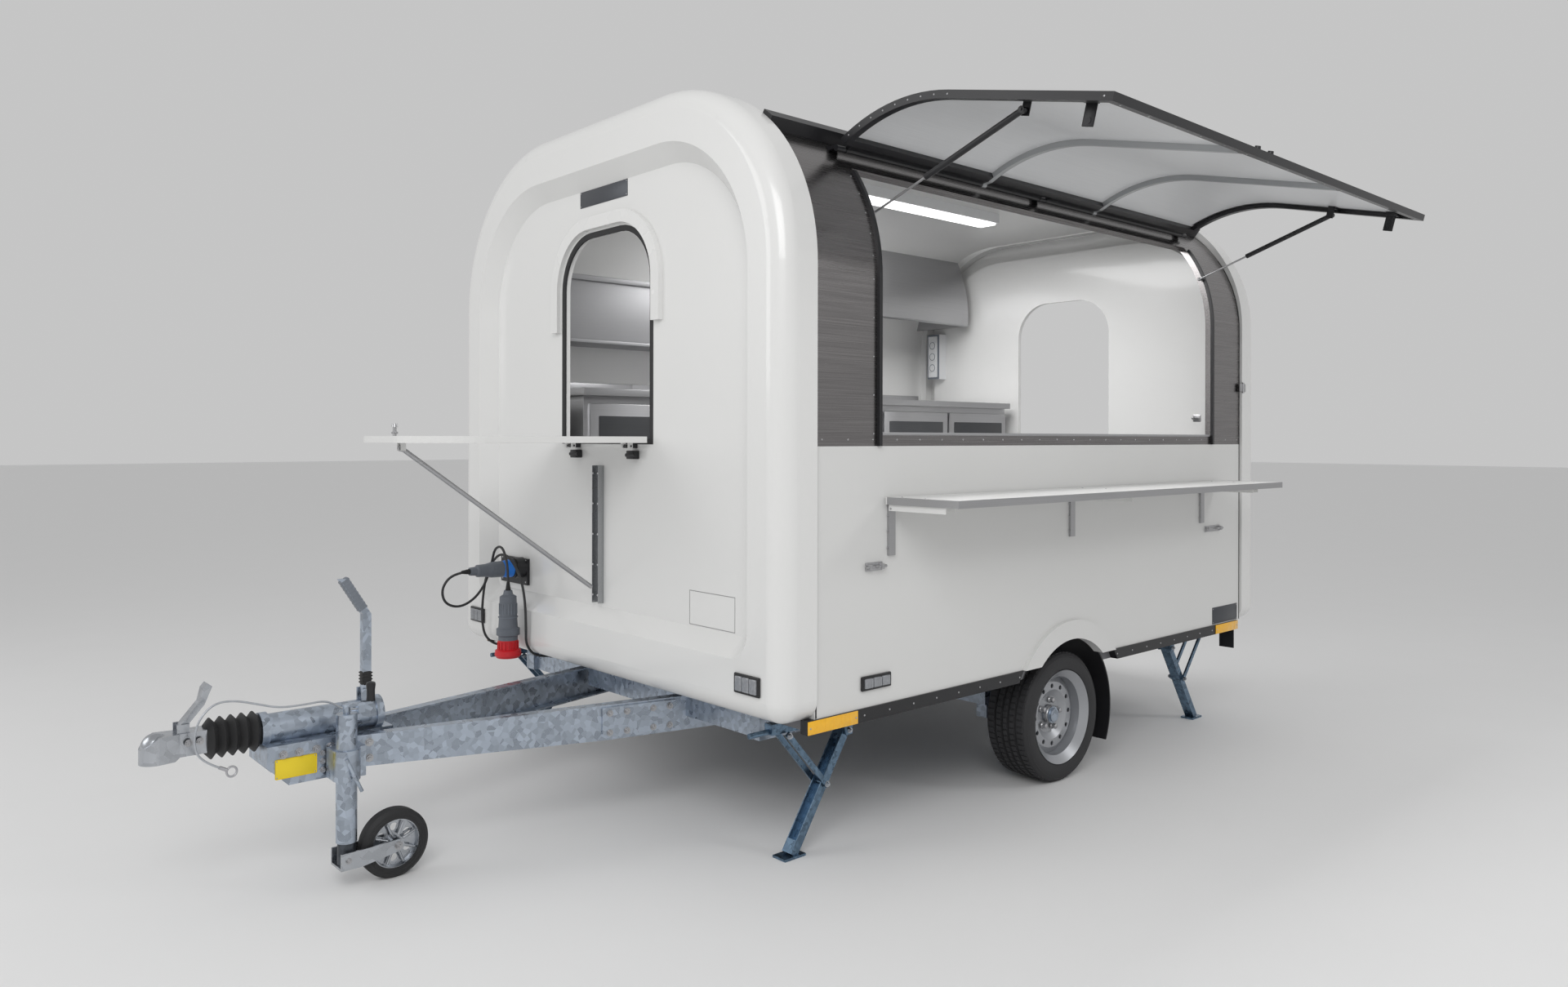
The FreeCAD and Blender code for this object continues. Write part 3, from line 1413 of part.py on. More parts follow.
pin_bore = S["JockeyPin"] + S["PinGap"]
hub_radius = S["JockeyHubRadius"]
rim_half = tread_half - rounding
rim_turned = turned(
    "jockey_rim_turn", "YZ", axle_x, "H_Axis",
    [
        (-tread_half, pin_bore),
        (tread_half, pin_bore),
        (tread_half, hub_radius),
        (web_half, hub_radius),
        (web_half, rim_edge - S["ForkPlate"]),
        (rim_half, rim_edge - web_half),
        (rim_half, rim_edge),
        (-rim_half, rim_edge),
        (-rim_half, rim_edge - web_half),
        (-web_half, rim_edge - S["ForkPlate"]),
        (-web_half, hub_radius),
        (-tread_half, hub_radius),
    ],
)
ROLLER_HOLES = 6
hole_reach = (hub_radius + rim_edge) / 2
holes = []
for number in range(ROLLER_HOLES):
    turn = Size(FULL_TURN * number / ROLLER_HOLES, repr(FULL_TURN * number / ROLLER_HOLES))
    holes.append(rod(f"roller_hole_{number}", "Y", axle_x + hole_reach * sine(turn), -tread_half,
                     hole_reach * cosine(turn), S["RollerHoleRadius"], tread_half * 2))
node("jockey_rim",
     put(group("jockey_rim_set", cut("jockey_rim_holed", rim_turned, *holes)), 0, jy, axle_z))

# Axle and wheels
axle_top = S["AxleTubeTop"]
arm_inner = wheel_y - S["ArmIn"]
axle_tube = box("axle_tube", wheel_x + S["AxleTubeOffset"] - S["AxleTubeSide"] / 2,
                -arm_inner - S["ArmWide"], axle_top - S["AxleTubeSide"],
                S["AxleTubeSide"], (arm_inner + S["ArmWide"]) * 2, S["AxleTubeSide"])
arm = box("axle_arm", wheel_x - S["ArmWide"], arm_inner,
          S["WheelZ"] - S["ArmWide"] / 2, S["AxleTubeOffset"] + S["AxleTubeSide"],
          S["ArmWide"], axle_top - S["WheelZ"])
drum = rod("axle_drum", "Y", wheel_x, wheel_y - S["DrumBackIn"], S["WheelZ"],
           S["DrumRadius"], S["DrumBackIn"] - S["DrumFrontIn"])
spindle = rod("axle_spindle", "Y", wheel_x, arm_inner, S["WheelZ"], S["HubRadius"],
              S["ArmIn"] + S["HubOut"])
cap = rod("axle_cap", "Y", wheel_x, wheel_y + S["HubOut"], S["WheelZ"], S["CapRadius"],
          S["CapLong"])
axle_side = fuse("axle_side", arm, drum, spindle, cap)
node("axle", fuse("axle_whole", axle_tube, axle_side,
                  mirror("axle_side_right", axle_side, (0, 1, 0))))

well = S["RimWell"]
flange_share = (S["RimFlangeRadius"] - S["TyreInner"]) / (S["WallInner"] - S["TyreInner"])
flange_in = S["BeadHalf"] + (S["TyreHalf"] - S["BeadHalf"]) * flange_share
lip = flange_in + S["RimLean"]
disc = S["DiscOffset"]
disc_back = disc - S["DiscThick"]
crown = disc + S["DiscBulge"]
flange = S["RimFlangeRadius"]
bead = S["TyreInner"]
hub_bore = S["HubRadius"] + S["BearingGap"]
rim_turn = turned(
    "rim_turn", "YZ", wheel_x, "H_Axis",
    [
        (wheel_y - lip, flange),
        (wheel_y - S["BeadHalf"] + S["RimRoll"], well),
        (wheel_y + disc_back, well),
        (wheel_y + crown - S["DiscThick"], S["DiscCrownOuter"]),
        (wheel_y + crown - S["DiscThick"], S["DiscCrownInner"]),
        (wheel_y + disc_back, S["DiscRootRadius"]),
        (wheel_y + disc_back, hub_bore),
        (wheel_y + disc, hub_bore),
        (wheel_y + disc, S["DiscRootRadius"]),
        (wheel_y + crown, S["DiscCrownInner"]),
        (wheel_y + crown, S["DiscCrownOuter"]),
        (wheel_y + disc + S["DiscThick"], well),
        (wheel_y + S["BeadHalf"] - S["RimRoll"], well),
        (wheel_y + lip, flange),
        (wheel_y + flange_in, flange),
        (wheel_y + S["BeadHalf"], bead),
        (wheel_y - S["BeadHalf"], bead),
        (wheel_y - flange_in, flange),
    ],
)
vent_reach = (S["DiscCrownInner"] + S["DiscCrownOuter"]) / 2
vents = []
VENTS = 12
for number in range(VENTS):
    turn = Size(FULL_TURN * number / VENTS, repr(FULL_TURN * number / VENTS))
    vents.append(rod(f"vent_{number}", "Y", wheel_x + vent_reach * sine(turn), wheel_y,
                     vent_reach * cosine(turn), S["VentRadius"], lip))
rim_open = cut("rim_vented", rim_turn, *vents)
rim_left = put(group("rim_left_set", rim_open), 0, 0, S["WheelZ"])
node("rim_left", rim_left)
node("rim_right", mirror("rim_mirror", rim_left, (0, 1, 0)))
tyre_turn = turned(
    "tyre_turn", "YZ", wheel_x, "H_Axis",
    [
        (wheel_y - S["BeadHalf"], bead),
        (wheel_y + S["BeadHalf"], bead),
        (wheel_y + S["TyreHalf"], S["WallInner"]),
        (wheel_y + S["TyreHalf"], S["WallOuter"]),
        (wheel_y + S["TreadHalf"], S["TyreRadius"]),
        (wheel_y - S["TreadHalf"], S["TyreRadius"]),
        (wheel_y - S["TyreHalf"], S["WallOuter"]),
        (wheel_y - S["TyreHalf"], S["WallInner"]),
    ],
)
tyre_left = put(group("tyre_left_set", tyre_turn), 0, 0, S["WheelZ"])
node("tyre_left", tyre_left)
node("tyre_right", mirror("tyre_mirror", tyre_left, (0, 1, 0)))

# Front flap, its hinge ears, the stay bar and the slotted track
panel_x = S["PanelDepth"]
flap_x = panel_x + S["FlapPinOut"]
flap_z = S["FlapHingeZ"]
flap_half = S["WindowHalf"] + S["FlapLap"]
flap_radius = S["WindowRadius"] + S["FlapLap"]
flap_end = flap_x + window_top + S["FlapLap"] - flap_z
flap_low = flap_z + S["FlapPinDrop"]
flap_start = flap_x - S["FlapBack"]
flap_board = pad(
    "flap_board", "XY", flap_low, S["FlapThick"],
    [
        (flap_start, -flap_half),
        (flap_end - flap_radius, -flap_half, flap_radius, 1),
        (flap_end, flap_radius - flap_half),
        (flap_end, flap_half - flap_radius, flap_radius, 1),
        (flap_end - flap_radius, flap_half),
        (flap_start, flap_half),
    ],
)
flap_parts = [flap_board]
flap_holes = []
flap_ears = []
ear_half = S["FlapEarHalf"]
notch_half = ear_half + S["FreeGap"]
lug_end = notch_half + S["FlapLug"]
for label, spot in (("left", S["FlapEarLeft"]), ("right", S["FlapEarRight"])):
    flap_ears.append(fuse(
        f"flap_ear_{label}",
        rod(f"flap_eye_{label}", "Y", flap_x, spot - ear_half, flap_z, S["FlapEarRadius"],
            ear_half * 2),
        box(f"flap_neck_{label}", panel_x, spot - ear_half, flap_z - S["FlapEarRadius"],
            S["FlapPinOut"], ear_half * 2, S["FlapEarRadius"] * 2),
        rod(f"flap_pin_{label}", "Y", flap_x, spot - lug_end, flap_z, S["ShelfPin"],
            lug_end * 2),
    ))
    flap_holes.append(box(f"flap_notch_{label}", flap_start, spot - notch_half, flap_low,
                          S["FlapBack"] + S["FlapPinDrop"] + S["FreeGap"], notch_half * 2,
                          S["FlapThick"]))
    flap_holes.append(rod(f"flap_bore_{label}", "Y", flap_x, spot - lug_end, flap_z,
                          S["ShelfPin"] + S["PinGap"], lug_end * 2))
    for end, start in (("near", spot - lug_end), ("far", spot + notch_half)):
        flap_parts.append(box(
            f"flap_lug_{label}_{end}", flap_x - S["FlapEarRadius"], start,
            flap_z - S["FlapEarRadius"], S["FlapEarRadius"] * 2, S["FlapLug"],
            S["FlapPinDrop"] + S["FlapEarRadius"]))
bar_y = -S["BarY"]
bar_z = flap_low - S["BarDrop"]
bar_gap = S["BarRadius"] + S["LugGap"]
for end, start in (("near", bar_y + bar_gap), ("far", bar_y - bar_gap - S["FlapLug"] / 2)):
    flap_parts.append(box(
        f"bar_lug_{end}", S["BarTopX"] - S["BarRadius"], start, bar_z - S["BarRadius"],
        S["BarRadius"] * 2, S["FlapLug"] / 2, S["BarDrop"] + S["BarRadius"]))
flap_parts.append(rod("bar_pin", "Y", S["BarTopX"], bar_y - bar_gap, bar_z, S["ShelfPin"],
                      bar_gap * 2))
node("front_flap", cut("flap_bored", fuse("flap_whole", *flap_parts), *flap_holes))
bar_run = S["BarTopX"] - panel_x - S["BarFootOut"]
bar_rise = bar_z - S["BarFootZ"]
bar_long = length_of(bar_rise, bar_run)
bar_lean = bearing(bar_run, bar_rise)
bar = cut(
    "bar_bored",
    fuse(
        "bar_whole",
        rod("bar_rod", "Z", 0, 0, -bar_long, S["BarRadius"], bar_long),
        rod("bar_eye", "Y", 0, -S["BarRadius"], 0, S["BarEye"], S["BarRadius"] * 2),
    ),
    rod("bar_bore", "Y", 0, -S["BarEye"], 0, S["ShelfPin"] + S["PinGap"], S["BarEye"] * 2),
)
node("flap_bar",
     put(group("bar_set", bar), S["BarTopX"], bar_y, bar_z,
         FreeCAD.Rotation(FreeCAD.Vector(0, 1, 0), bar_lean.value), bar_lean))
track_body = box("track_body", panel_x, bar_y - S["TrackHalf"], S["TrackBottom"],
                 S["TrackDepth"], S["TrackHalf"] * 2, S["TrackTop"] - S["TrackBottom"])
track_slot = box("track_slot", panel_x + S["TrackSheet"],
                 bar_y - S["TrackHalf"] + S["TrackSheet"],
                 S["TrackBottom"] - S["TrackSheet"], S["TrackDepth"],
                 (S["TrackHalf"] - S["TrackSheet"]) * 2, S["TrackTop"])
bezel_in = S["WindowHalf"] + S["BezelInner"]
bezel_out = bezel_in + S["BezelWide"]
bezel_in_radius = S["WindowRadius"] + S["BezelInner"]
bezel_out_radius = bezel_in_radius + S["BezelWide"]
bezel_in_top = window_top + S["BezelInner"]
bezel_out_top = bezel_in_top + S["BezelWide"]
bezel = pad(
    "bezel_bar", "YZ", panel_x, S["BezelThick"],
    [
        (bezel_out, S["BezelEnd"]),
        (bezel_out, bezel_out_top - bezel_out_radius, bezel_out_radius, 1),
        (bezel_out - bezel_out_radius, bezel_out_top),
        (bezel_out_radius - bezel_out, bezel_out_top, bezel_out_radius, 1),
        (-bezel_out, bezel_out_top - bezel_out_radius),
        (-bezel_out, S["BezelEnd"]),
        (-bezel_in, S["BezelEnd"]),
        (-bezel_in, bezel_in_top - bezel_in_radius, bezel_in_radius, -1),
        (bezel_in_radius - bezel_in, bezel_in_top),
        (bezel_in - bezel_in_radius, bezel_in_top, bezel_in_radius, -1),
        (bezel_in, bezel_in_top - bezel_in_radius),
        (bezel_in, S["BezelEnd"]),
    ],
)
node("front_fittings", cut("track_open", track_body, track_slot), bezel, *flap_ears)
node("door_hinge", *door_ears)

# Counter shelf on three wall channels
shelf_y = S["SideHalf"] + S["ShelfHingeY"]
shelf_z = S["ShelfHingeZ"]
shelf_low = S["ShelfTop"] - S["ShelfThick"]
shelf_rear = length - S["ShelfRearInset"]
arm_first = -S["ShelfFront"] - S["ArmFrontInset"]
arm_last = S["ArmRearInset"] - shelf_rear
shelf_parts = [box("shelf_board", -shelf_rear, S["SideHalf"] + S["ShelfInner"], shelf_low,
                   shelf_rear - S["ShelfFront"], S["ShelfOuter"] - S["ShelfInner"],
                   S["ShelfThick"])]
shelf_bores = []
wall_parts = []
cheek = S["ArmThick"]
arm_half = S["ArmHalf"]
for label, spot in (("one", arm_first), ("two", (arm_first + arm_last) / 2),
                    ("three", arm_last)):
    wall_parts.append(fuse(
        f"channel_{label}",
        box(f"channel_plate_{label}", spot - S["ChannelWide"] / 2, S["SideHalf"],
            S["ChannelBottom"], S["ChannelWide"], S["ChannelDeep"],
            shelf_low - S["FreeGap"] - S["ChannelBottom"]),
        box(f"channel_neck_{label}", spot - S["ChannelWide"] / 2, S["SideHalf"],
            shelf_z - S["ShelfEar"], S["ChannelWide"], S["ShelfHingeY"], S["ShelfEar"] * 2),
        rod(f"channel_eye_{label}", "X", spot - S["ChannelWide"] / 2, shelf_y, shelf_z,
            S["ShelfEar"], S["ChannelWide"]),
        rod(f"channel_pin_{label}", "X", spot - arm_half, shelf_y, shelf_z, S["ShelfPin"],
            arm_half * 2),
    ))
    for end, start in (("near", spot + arm_half - cheek), ("far", spot - arm_half)):
        shelf_parts.append(box(
            f"shelf_cheek_{label}_{end}", start, shelf_y - S["ShelfEar"],
            shelf_low - S["ArmDeep"], cheek, S["ArmLong"], S["ArmDeep"]))
    shelf_parts.append(box(
        f"shelf_web_{label}", spot - arm_half, shelf_y + S["ArmDeep"] + S["FreeGap"],
        shelf_low - cheek, arm_half * 2, S["ArmLong"] - S["ArmDeep"] * 2, cheek))
    shelf_bores.append(rod(f"shelf_bore_{label}", "X", spot - arm_half * 2, shelf_y, shelf_z,
                           S["ShelfPin"] + S["PinGap"], arm_half * 4))
node("counter_shelf", cut("shelf_bored", fuse("shelf_whole", *shelf_parts), *shelf_bores))
node("wall_fittings", *wall_parts)

# Corner steadies
guides = []
steady_x = -S["SteadyPivotX"]
steady_y = S["SideHalf"] - S["SteadyIn"]
steady_z = S["SteadyPivotZ"]
foot_drop = steady_z - S["SteadyFootThick"]
leg_lean = bearing(S["SteadyPivotX"] - S["SteadyFoot"], foot_drop)
leg_long = length_of(S["SteadyPivotX"] - S["SteadyFoot"], foot_drop)
leg_half = S["SteadyWide"] / 2
guide_side = S["GuideHalf"] - S["GuideDeep"]
brace_spot = S["BraceLow"]
brace_low_x = steady_x + brace_spot * sine(leg_lean)
brace_low_z = steady_z - brace_spot * cosine(leg_lean)
brace_run = -S["BraceTopX"] - brace_low_x
brace_rise = S["BraceTopZ"] - brace_low_z
brace_long = length_of(brace_run, brace_rise)
brace_lean = bearing(brace_run, brace_rise)
inner_x = steady_x - S["GuideFront"]
guide_pieces = [
    box("guide_bar", inner_x, -guide_side, S["FloorBottom"] - S["GuideHalf"],
        S["SteadyPivotX"] + S["GuideFront"] * 2, guide_side * 2, S["GuideHalf"]),
    rod("guide_spindle", "X", S["GuideFront"], 0, S["SpindleZ"], S["SpindleRadius"],
        S["SpindleOut"] - S["GuideFront"]),
    box("guide_ear_near", steady_x - S["SteadyDeep"] / 2, leg_half + S["LugGap"],
        steady_z - S["SteadyDeep"] / 2, S["SteadyDeep"], S["BraceWide"],
        S["FloorBottom"] - steady_z + S["SteadyDeep"] / 2),
    box("guide_ear_far", steady_x - S["SteadyDeep"] / 2,
        -leg_half - S["LugGap"] - S["BraceWide"], steady_z - S["SteadyDeep"] / 2,
        S["SteadyDeep"], S["BraceWide"],
        S["FloorBottom"] - steady_z + S["SteadyDeep"] / 2),
    box("guide_cap", steady_x - S["SteadyDeep"] / 2, -leg_half - S["LugGap"],
        S["FloorBottom"] - S["GuideHalf"] / 2, S["SteadyDeep"],
        S["SteadyWide"] + S["LugGap"] * 2, S["GuideHalf"] / 2),
    rod("guide_pin", "Y", steady_x, -leg_half - S["LugGap"], steady_z, S["HingePin"],
        S["SteadyWide"] + S["LugGap"] * 2),
]
guide = fuse("guide_whole", *guide_pieces)
leg_wall = S["SteadyWall"]
leg_bar = cut(
    "leg_bored",
    fuse(
        "leg_whole",
        box("leg_bar", -S["SteadyDeep"] / 2, -leg_half, -leg_long, S["SteadyDeep"],
            S["SteadyWide"], leg_long),
        rod("leg_eye", "Y", 0, -leg_half, 0, S["SteadyDeep"] / 2, S["SteadyWide"]),
    ),
    rod("leg_bore", "Y", 0, -S["SteadyWide"], 0, S["HingePin"] + S["PinGap"],
        S["SteadyWide"] * 2),
    box("leg_channel", leg_wall - S["SteadyDeep"] / 2, leg_wall - leg_half,
        S["SteadyWide"] - leg_long, S["SteadyDeep"], (leg_half - leg_wall) * 2,
        leg_long - S["SteadyWide"] * 2),
    rod("leg_brace_bore", "Y", 0, -S["SteadyWide"], -brace_spot, S["HingePin"] + S["PinGap"],
        S["SteadyWide"] * 2),
)
leg_turn = FreeCAD.Rotation(FreeCAD.Vector(0, 1, 0), -leg_lean.value)
leg_set = put(group("leg_set", leg_bar), steady_x, 0, steady_z, leg_turn, -leg_lean)
leg_ground = box("leg_ground", inner_x, -leg_half, -S["GroundClear"], S["GroundClear"] * 2,
                 S["SteadyWide"], S["GroundClear"])
leg = fuse(
    "leg_with_foot",
    cut("leg_trimmed", leg_set, leg_ground),
    box("leg_foot", -S["SteadyFoot"] - S["SteadyFootLong"] / 2, -S["BraceWide"] - leg_half, 0,
        S["SteadyFootLong"], S["SteadyWide"] + S["BraceWide"] * 2, S["SteadyFootThick"]),
)
brace_side = leg_half + S["BraceGap"]
brace = fuse(
    "brace_whole",
    box("brace_near", -S["BraceDeep"] / 2, brace_side, -S["BraceDeep"] / 2, S["BraceDeep"],
        S["BraceWide"], brace_long + S["BraceDeep"]),
    box("brace_far", -S["BraceDeep"] / 2, -brace_side - S["BraceWide"], -S["BraceDeep"] / 2,
        S["BraceDeep"], S["BraceWide"], brace_long + S["BraceDeep"]),
    rod("brace_pin", "Y", 0, -brace_side, 0, S["HingePin"], brace_side * 2),
)
brace_turn = FreeCAD.Rotation(FreeCAD.Vector(0, 1, 0), brace_lean.value)
brace_set = put(group("brace_set", brace), brace_low_x, 0, brace_low_z, brace_turn, brace_lean)
mid_x = S["SteadyRearShift"] - length / 2
for kind, part in (("leg", leg), ("brace", brace_set), ("guide", guide)):
    for corner, way in (("left", steady_y), ("right", -steady_y)):
        front = put(group(f"{kind}_front_{corner}", part), 0, way, 0)
        rear = mirror(f"{kind}_rear_{corner}", front, (1, 0, 0), mid_x)
        if kind == "guide":
            guides += [front, rear]
        else:
            node(f"steady_{kind}_front_{corner}", front)
            node(f"steady_{kind}_rear_{corner}", rear)
node("steady_guides", *guides)

# Lamps, reflectors and corner plates
strip_face = S["SideHalf"] + S["StripProud"]
strip_high = S["PanelBottom"] - S["StripBottom"]
reflector_front = box("reflector_front", S["StripFront"] - S["ReflectorLong"], strip_face,
                      S["StripBottom"], S["ReflectorLong"], S["ReflectorThick"], strip_high)
reflector_rear = box("reflector_rear", -strip_rear, strip_face, S["StripBottom"],
                     S["ReflectorLong"], S["ReflectorThick"], strip_high)
side_lamp = box("side_lamp", -S["SideLampX"] - S["SideLampLong"], S["SideHalf"],
                S["SideLampBottom"], S["SideLampLong"], S["SideLampThick"],
                S["SideLampHigh"])
end_lamp = box("end_lamp", S["RingDepth"], shell_half - S["EndLampIn"] - S["EndLampLong"] / 2,
               S["EndLampZ"] - S["EndLampHigh"] / 2, S["EndLampThick"], S["EndLampLong"],
               S["EndLampHigh"])
rear_lamp = mirror("rear_lamp", end_lamp, (1, 0, 0), -length / 2)
corner_plate = box("corner_plate", -length - S["CornerPlateThick"],
                   shell_half - S["CornerPlateIn"], S["CornerPlateLow"],
                   S["CornerPlateThick"], S["CornerPlateWide"],
                   S["ShellBottom"] - S["CornerPlateLow"])
left_set = [reflector_front, reflector_rear, side_lamp, end_lamp, rear_lamp]
node("lamps", *left_set, *[mirror(f"{item.Label}_right", item, (0, 1, 0)) for item in left_set])
node("corner_plates", corner_plate, mirror("corner_plate_right", corner_plate, (0, 1, 0)))

# Kitchen inside
interior = pad(
    "interior", "YZ", -length, length,
    [
        (side_in, S["FloorBottom"] + S["FloorThick"]),
        (side_in, arc_base, S["RoofRadius"] - thick, 1),
        (S["SideHalf"] - S["RoofRadius"], roof_top - thick),
        (S["RoofRadius"] - S["SideHalf"], roof_top - thick, S["RoofRadius"] - thick, 1),
        (-side_in, arc_base),
        (-side_in, S["FloorBottom"] + S["FloorThick"]),
    ],
)
kitchen_long = length - S["KitchenFront"]
floor_top = S["FloorBottom"] + S["FloorThick"]
worktop_low = S["WorktopTop"] - S["WorktopThick"]
worktop_deep = side_in - S["WorktopFront"]
cupboard_deep = worktop_deep - S["CupboardInset"]
board = S["BoardThick"]
cupboard = box("cupboard", -length, -side_in, floor_top,
               kitchen_long - S["CupboardInset"], cupboard_deep, worktop_low - floor_top)
cupboard_inside = box("cupboard_inside", -length + board, -side_in - board,
                      floor_top + board, kitchen_long - S["CupboardInset"] - board * 2,
                      cupboard_deep, worktop_low - floor_top - board * 2)
box_clear = rod("box_clear", "Y", wheel_x, -side_in * 2, S["WheelZ"],
                S["WheelBoxRadius"] + S["FreeGap"], side_in * 2 - well_inner
                + S["FreeGap"])
worktop = box("worktop", -length, -side_in, worktop_low, kitchen_long, worktop_deep,
              S["WorktopThick"])
upstand = box("upstand", -length, -side_in, S["WorktopTop"], kitchen_long,
              S["UpstandThick"], S["UpstandHigh"])
node("kitchen_unit",
     fuse("kitchen_whole", cut("cupboard_open", cupboard, cupboard_inside, box_clear), worktop,
          upstand))
hood_long = length - S["HoodFrontX"]
hood_low = roof_top - S["HoodDrop"] - S["HoodHigh"]
sheet_thick = S["HoodSheet"]
hood_front = -S["HoodFront"]
hood_edge = hood_low + S["HoodEdge"]
hood_top = hood_low + S["HoodHigh"]
hood_box = pad(
    "hood_box", "YZ", -length, hood_long,
    [
        (-side_in, hood_low),
        (hood_front, hood_low),
        (hood_front, hood_edge, S["HoodCurve"], 1),
        (hood_front - S["HoodSlope"], hood_top),
        (-side_in, hood_top),
    ],
)
hood_void = pad(
    "hood_void", "YZ", sheet_thick - length, hood_long - sheet_thick * 2,
    [
        (-side_in - sheet_thick, hood_low - sheet_thick),
        (hood_front - sheet_thick, hood_low - sheet_thick),
        (hood_front - sheet_thick, hood_edge, S["HoodCurve"] - sheet_thick, 1),
        (hood_front - S["HoodSlope"] - sheet_thick, hood_top - sheet_thick),
        (-side_in - sheet_thick, hood_top - sheet_thick),
    ],
)
node("hood", cut("hood_open", common("hood_fit", hood_box, interior), hood_void))
ceiling_lamp = box("ceiling_lamp", S["LampRearInset"] - length, S["LampY"] - S["LampHalf"],
                   roof_top - thick - S["LampDeep"], S["LampLong"],
                   S["LampHalf"] * 2, S["LampDeep"])
shell_inside = -length - S["PanelDepth"] + inset
socket_box = box("socket_box", shell_inside, S["SocketBoxIn"] - S["SideHalf"] - S["SocketBoxWide"] / 2,
                 S["SocketBoxZ"] - S["SocketBoxHigh"] / 2, S["SocketBoxDeep"],
                 S["SocketBoxWide"], S["SocketBoxHigh"])
node("cabin_fittings", ceiling_lamp, socket_box)

# Power inlet on the front panel, with its plug and a coupler hanging on a lead
inlet_shares = [(0, 0), (0, 1), (0.8, 1), (0.8, 0.93), (1, 0.93), (1, 0)]
plug_shares = [
    (0, 0), (0, 1), (0.12, 1), (0.16, 0.92), (0.5, 0.86), (0.62, 0.72), (0.83, 0.67),
    (0.86, 0.5), (1, 0.44), (1, 0),
]
coupler_shares = [
    (0, 0), (0, 0.31), (0.06, 0.38), (0.09, 0.63), (0.36, 0.67), (0.55, 0.73), (0.57, 0.88),
    (0.66, 0.88), (0.68, 0.73), (0.87, 0.73), (0.89, 0.96), (0.96, 1), (1, 0.85), (1, 0),
]
inlet_face = panel_x + S["InletThick"]
socket_ring = put(group("inlet_ring", round_part("inlet_ring_turn", S["InletLong"],
                                                 S["InletRadius"], inlet_shares)),
                  inlet_face, -S["InletY"], S["InletZ"])
node(
    "power_inlet",
    fuse(
        "inlet_whole",
        box("inlet_flange", panel_x, -S["InletY"] + S["InletFlangeIn"] - S["InletFlangeWide"],
            S["InletFlangeLow"], S["InletThick"], S["InletFlangeWide"],
            S["InletFlangeHigh"]),
        socket_ring,
    ),
    rod("gland_outer", "X", 0, -S["GlandOuterY"], S["GlandZ"], S["GlandRadius"], S["GlandLong"]),
    rod("gland_inner", "X", 0, -S["GlandInnerY"], S["GlandZ"], S["GlandRadius"], S["GlandLong"]),
)
plug = put(group("plug", round_part("plug_turn", S["PlugLong"], S["PlugRadius"], plug_shares)),
           inlet_face + S["InletLong"], -S["InletY"], S["InletZ"])
coupler = group("coupler", round_part("coupler_turn", S["CouplerLong"], S["CouplerRadius"],
                                      coupler_shares))
put(coupler, S["CouplerX"], -S["CouplerY"], S["CouplerZ"],
    FreeCAD.Rotation(FreeCAD.Vector(0, 1, 0), QUARTER_TURN), Size(QUARTER_TURN, "90"))

# Free cords: straight runs joined by tangent arcs along points chosen by hand
BEND_SHARE = 0.45
ADAPTER_ROUTE = [
    (330, -600, 811), (398, -600, 811), (442, -612, 756), (420, -634, 690), (350, -650, 664),
    (276, -662, 692), (225, -668, 754), (201, -668, 828), (199, -646, 892), (199, -584, 906),
    (204, -536, 856), (208, -515, 798), (208, -515, 735),
]
LOOP_ROUTE = [
    (10, -790, 458), (95, -790, 458), (168, -790, 502), (182, -792, 585), (180, -786, 680),
    (178, -762, 768), (178, -705, 832), (180, -640, 868), (180, -570, 866), (178, -510, 828),
    (172, -468, 768), (168, -450, 685), (166, -448, 590), (162, -455, 515), (98, -475, 458),
    (10, -475, 458),
]
BREAKAWAY_ROUTE = [
    (1020, 60, 506), (1060, 60, 506), (1110, 60, 547), (1180, 58, 543), (1250, 56, 545),
    (1310, 54, 566), (1370, 56, 586), (1425, 62, 588), (1466, 68, 550), (1480, 70, 492),
    (1466, 70, 434), (1412, 66, 404),
]
clip_ring = doc.addObject("Part::Torus", "clip_ring")
bind(clip_ring, "Radius1", S["ClipRing"])
bind(clip_ring, "Radius2", S["ClipWire"])
put(clip_ring, ZERO, ZERO, S["ClipLong"] + S["ClipRing"], AXES["Y"])
clip_ferrule = rod("clip_ferrule", "Z", ZERO, ZERO, ZERO, S["ClipRadius"], S["ClipLong"])
clip = group("clip", fuse("clip_whole", clip_ferrule, clip_ring))
cable_end = FreeCAD.Vector(*BREAKAWAY_ROUTE[-1])
cable_way = cable_end - FreeCAD.Vector(*BREAKAWAY_ROUTE[-2])
clip.Placement = FreeCAD.Placement(cable_end,
                                   FreeCAD.Rotation(FreeCAD.Vector(0, 0, 1), cable_way))
node("power_plugs", plug, coupler, clip)


def cord(name, route, radius):
    """A round cord swept along straight runs and tangent arcs."""
    points = [FreeCAD.Vector(*point) for point in route]
    edges = []
    radii = []
    start = points[0]
    for before, corner, after in zip(points, points[1:], points[2:]):
        back = before - corner
        ahead = after - corner
        trim = min(back.Length, ahead.Length) * BEND_SHARE
        half = (math.pi - back.getAngle(ahead)) / 2
        back.normalize()
        ahead.normalize()
        first = corner + back * trim
        last = corner + ahead * trim
        inward = (back + ahead).normalize()
        reach = trim / math.tan(half)
        middle = corner + inward * (math.hypot(reach, trim) - reach)
        edges.append(Part.LineSegment(start, first).toShape())
        edges.append(Part.Arc(first, middle, last).toShape())
        radii.append(round(reach))
        start = last
    edges.append(Part.LineSegment(start, points[-1]).toShape())
    way = points[1] - points[0]
    ring = Part.Wire([Part.makeCircle(radius.value, points[0], way)])
    tube = doc.addObject("Part::Feature", name + "_tube")
    tube.Shape = Part.Wire(edges).makePipeShell([ring], True, False)
    print(name, "bend radii", radii)
    return node(name, tube)


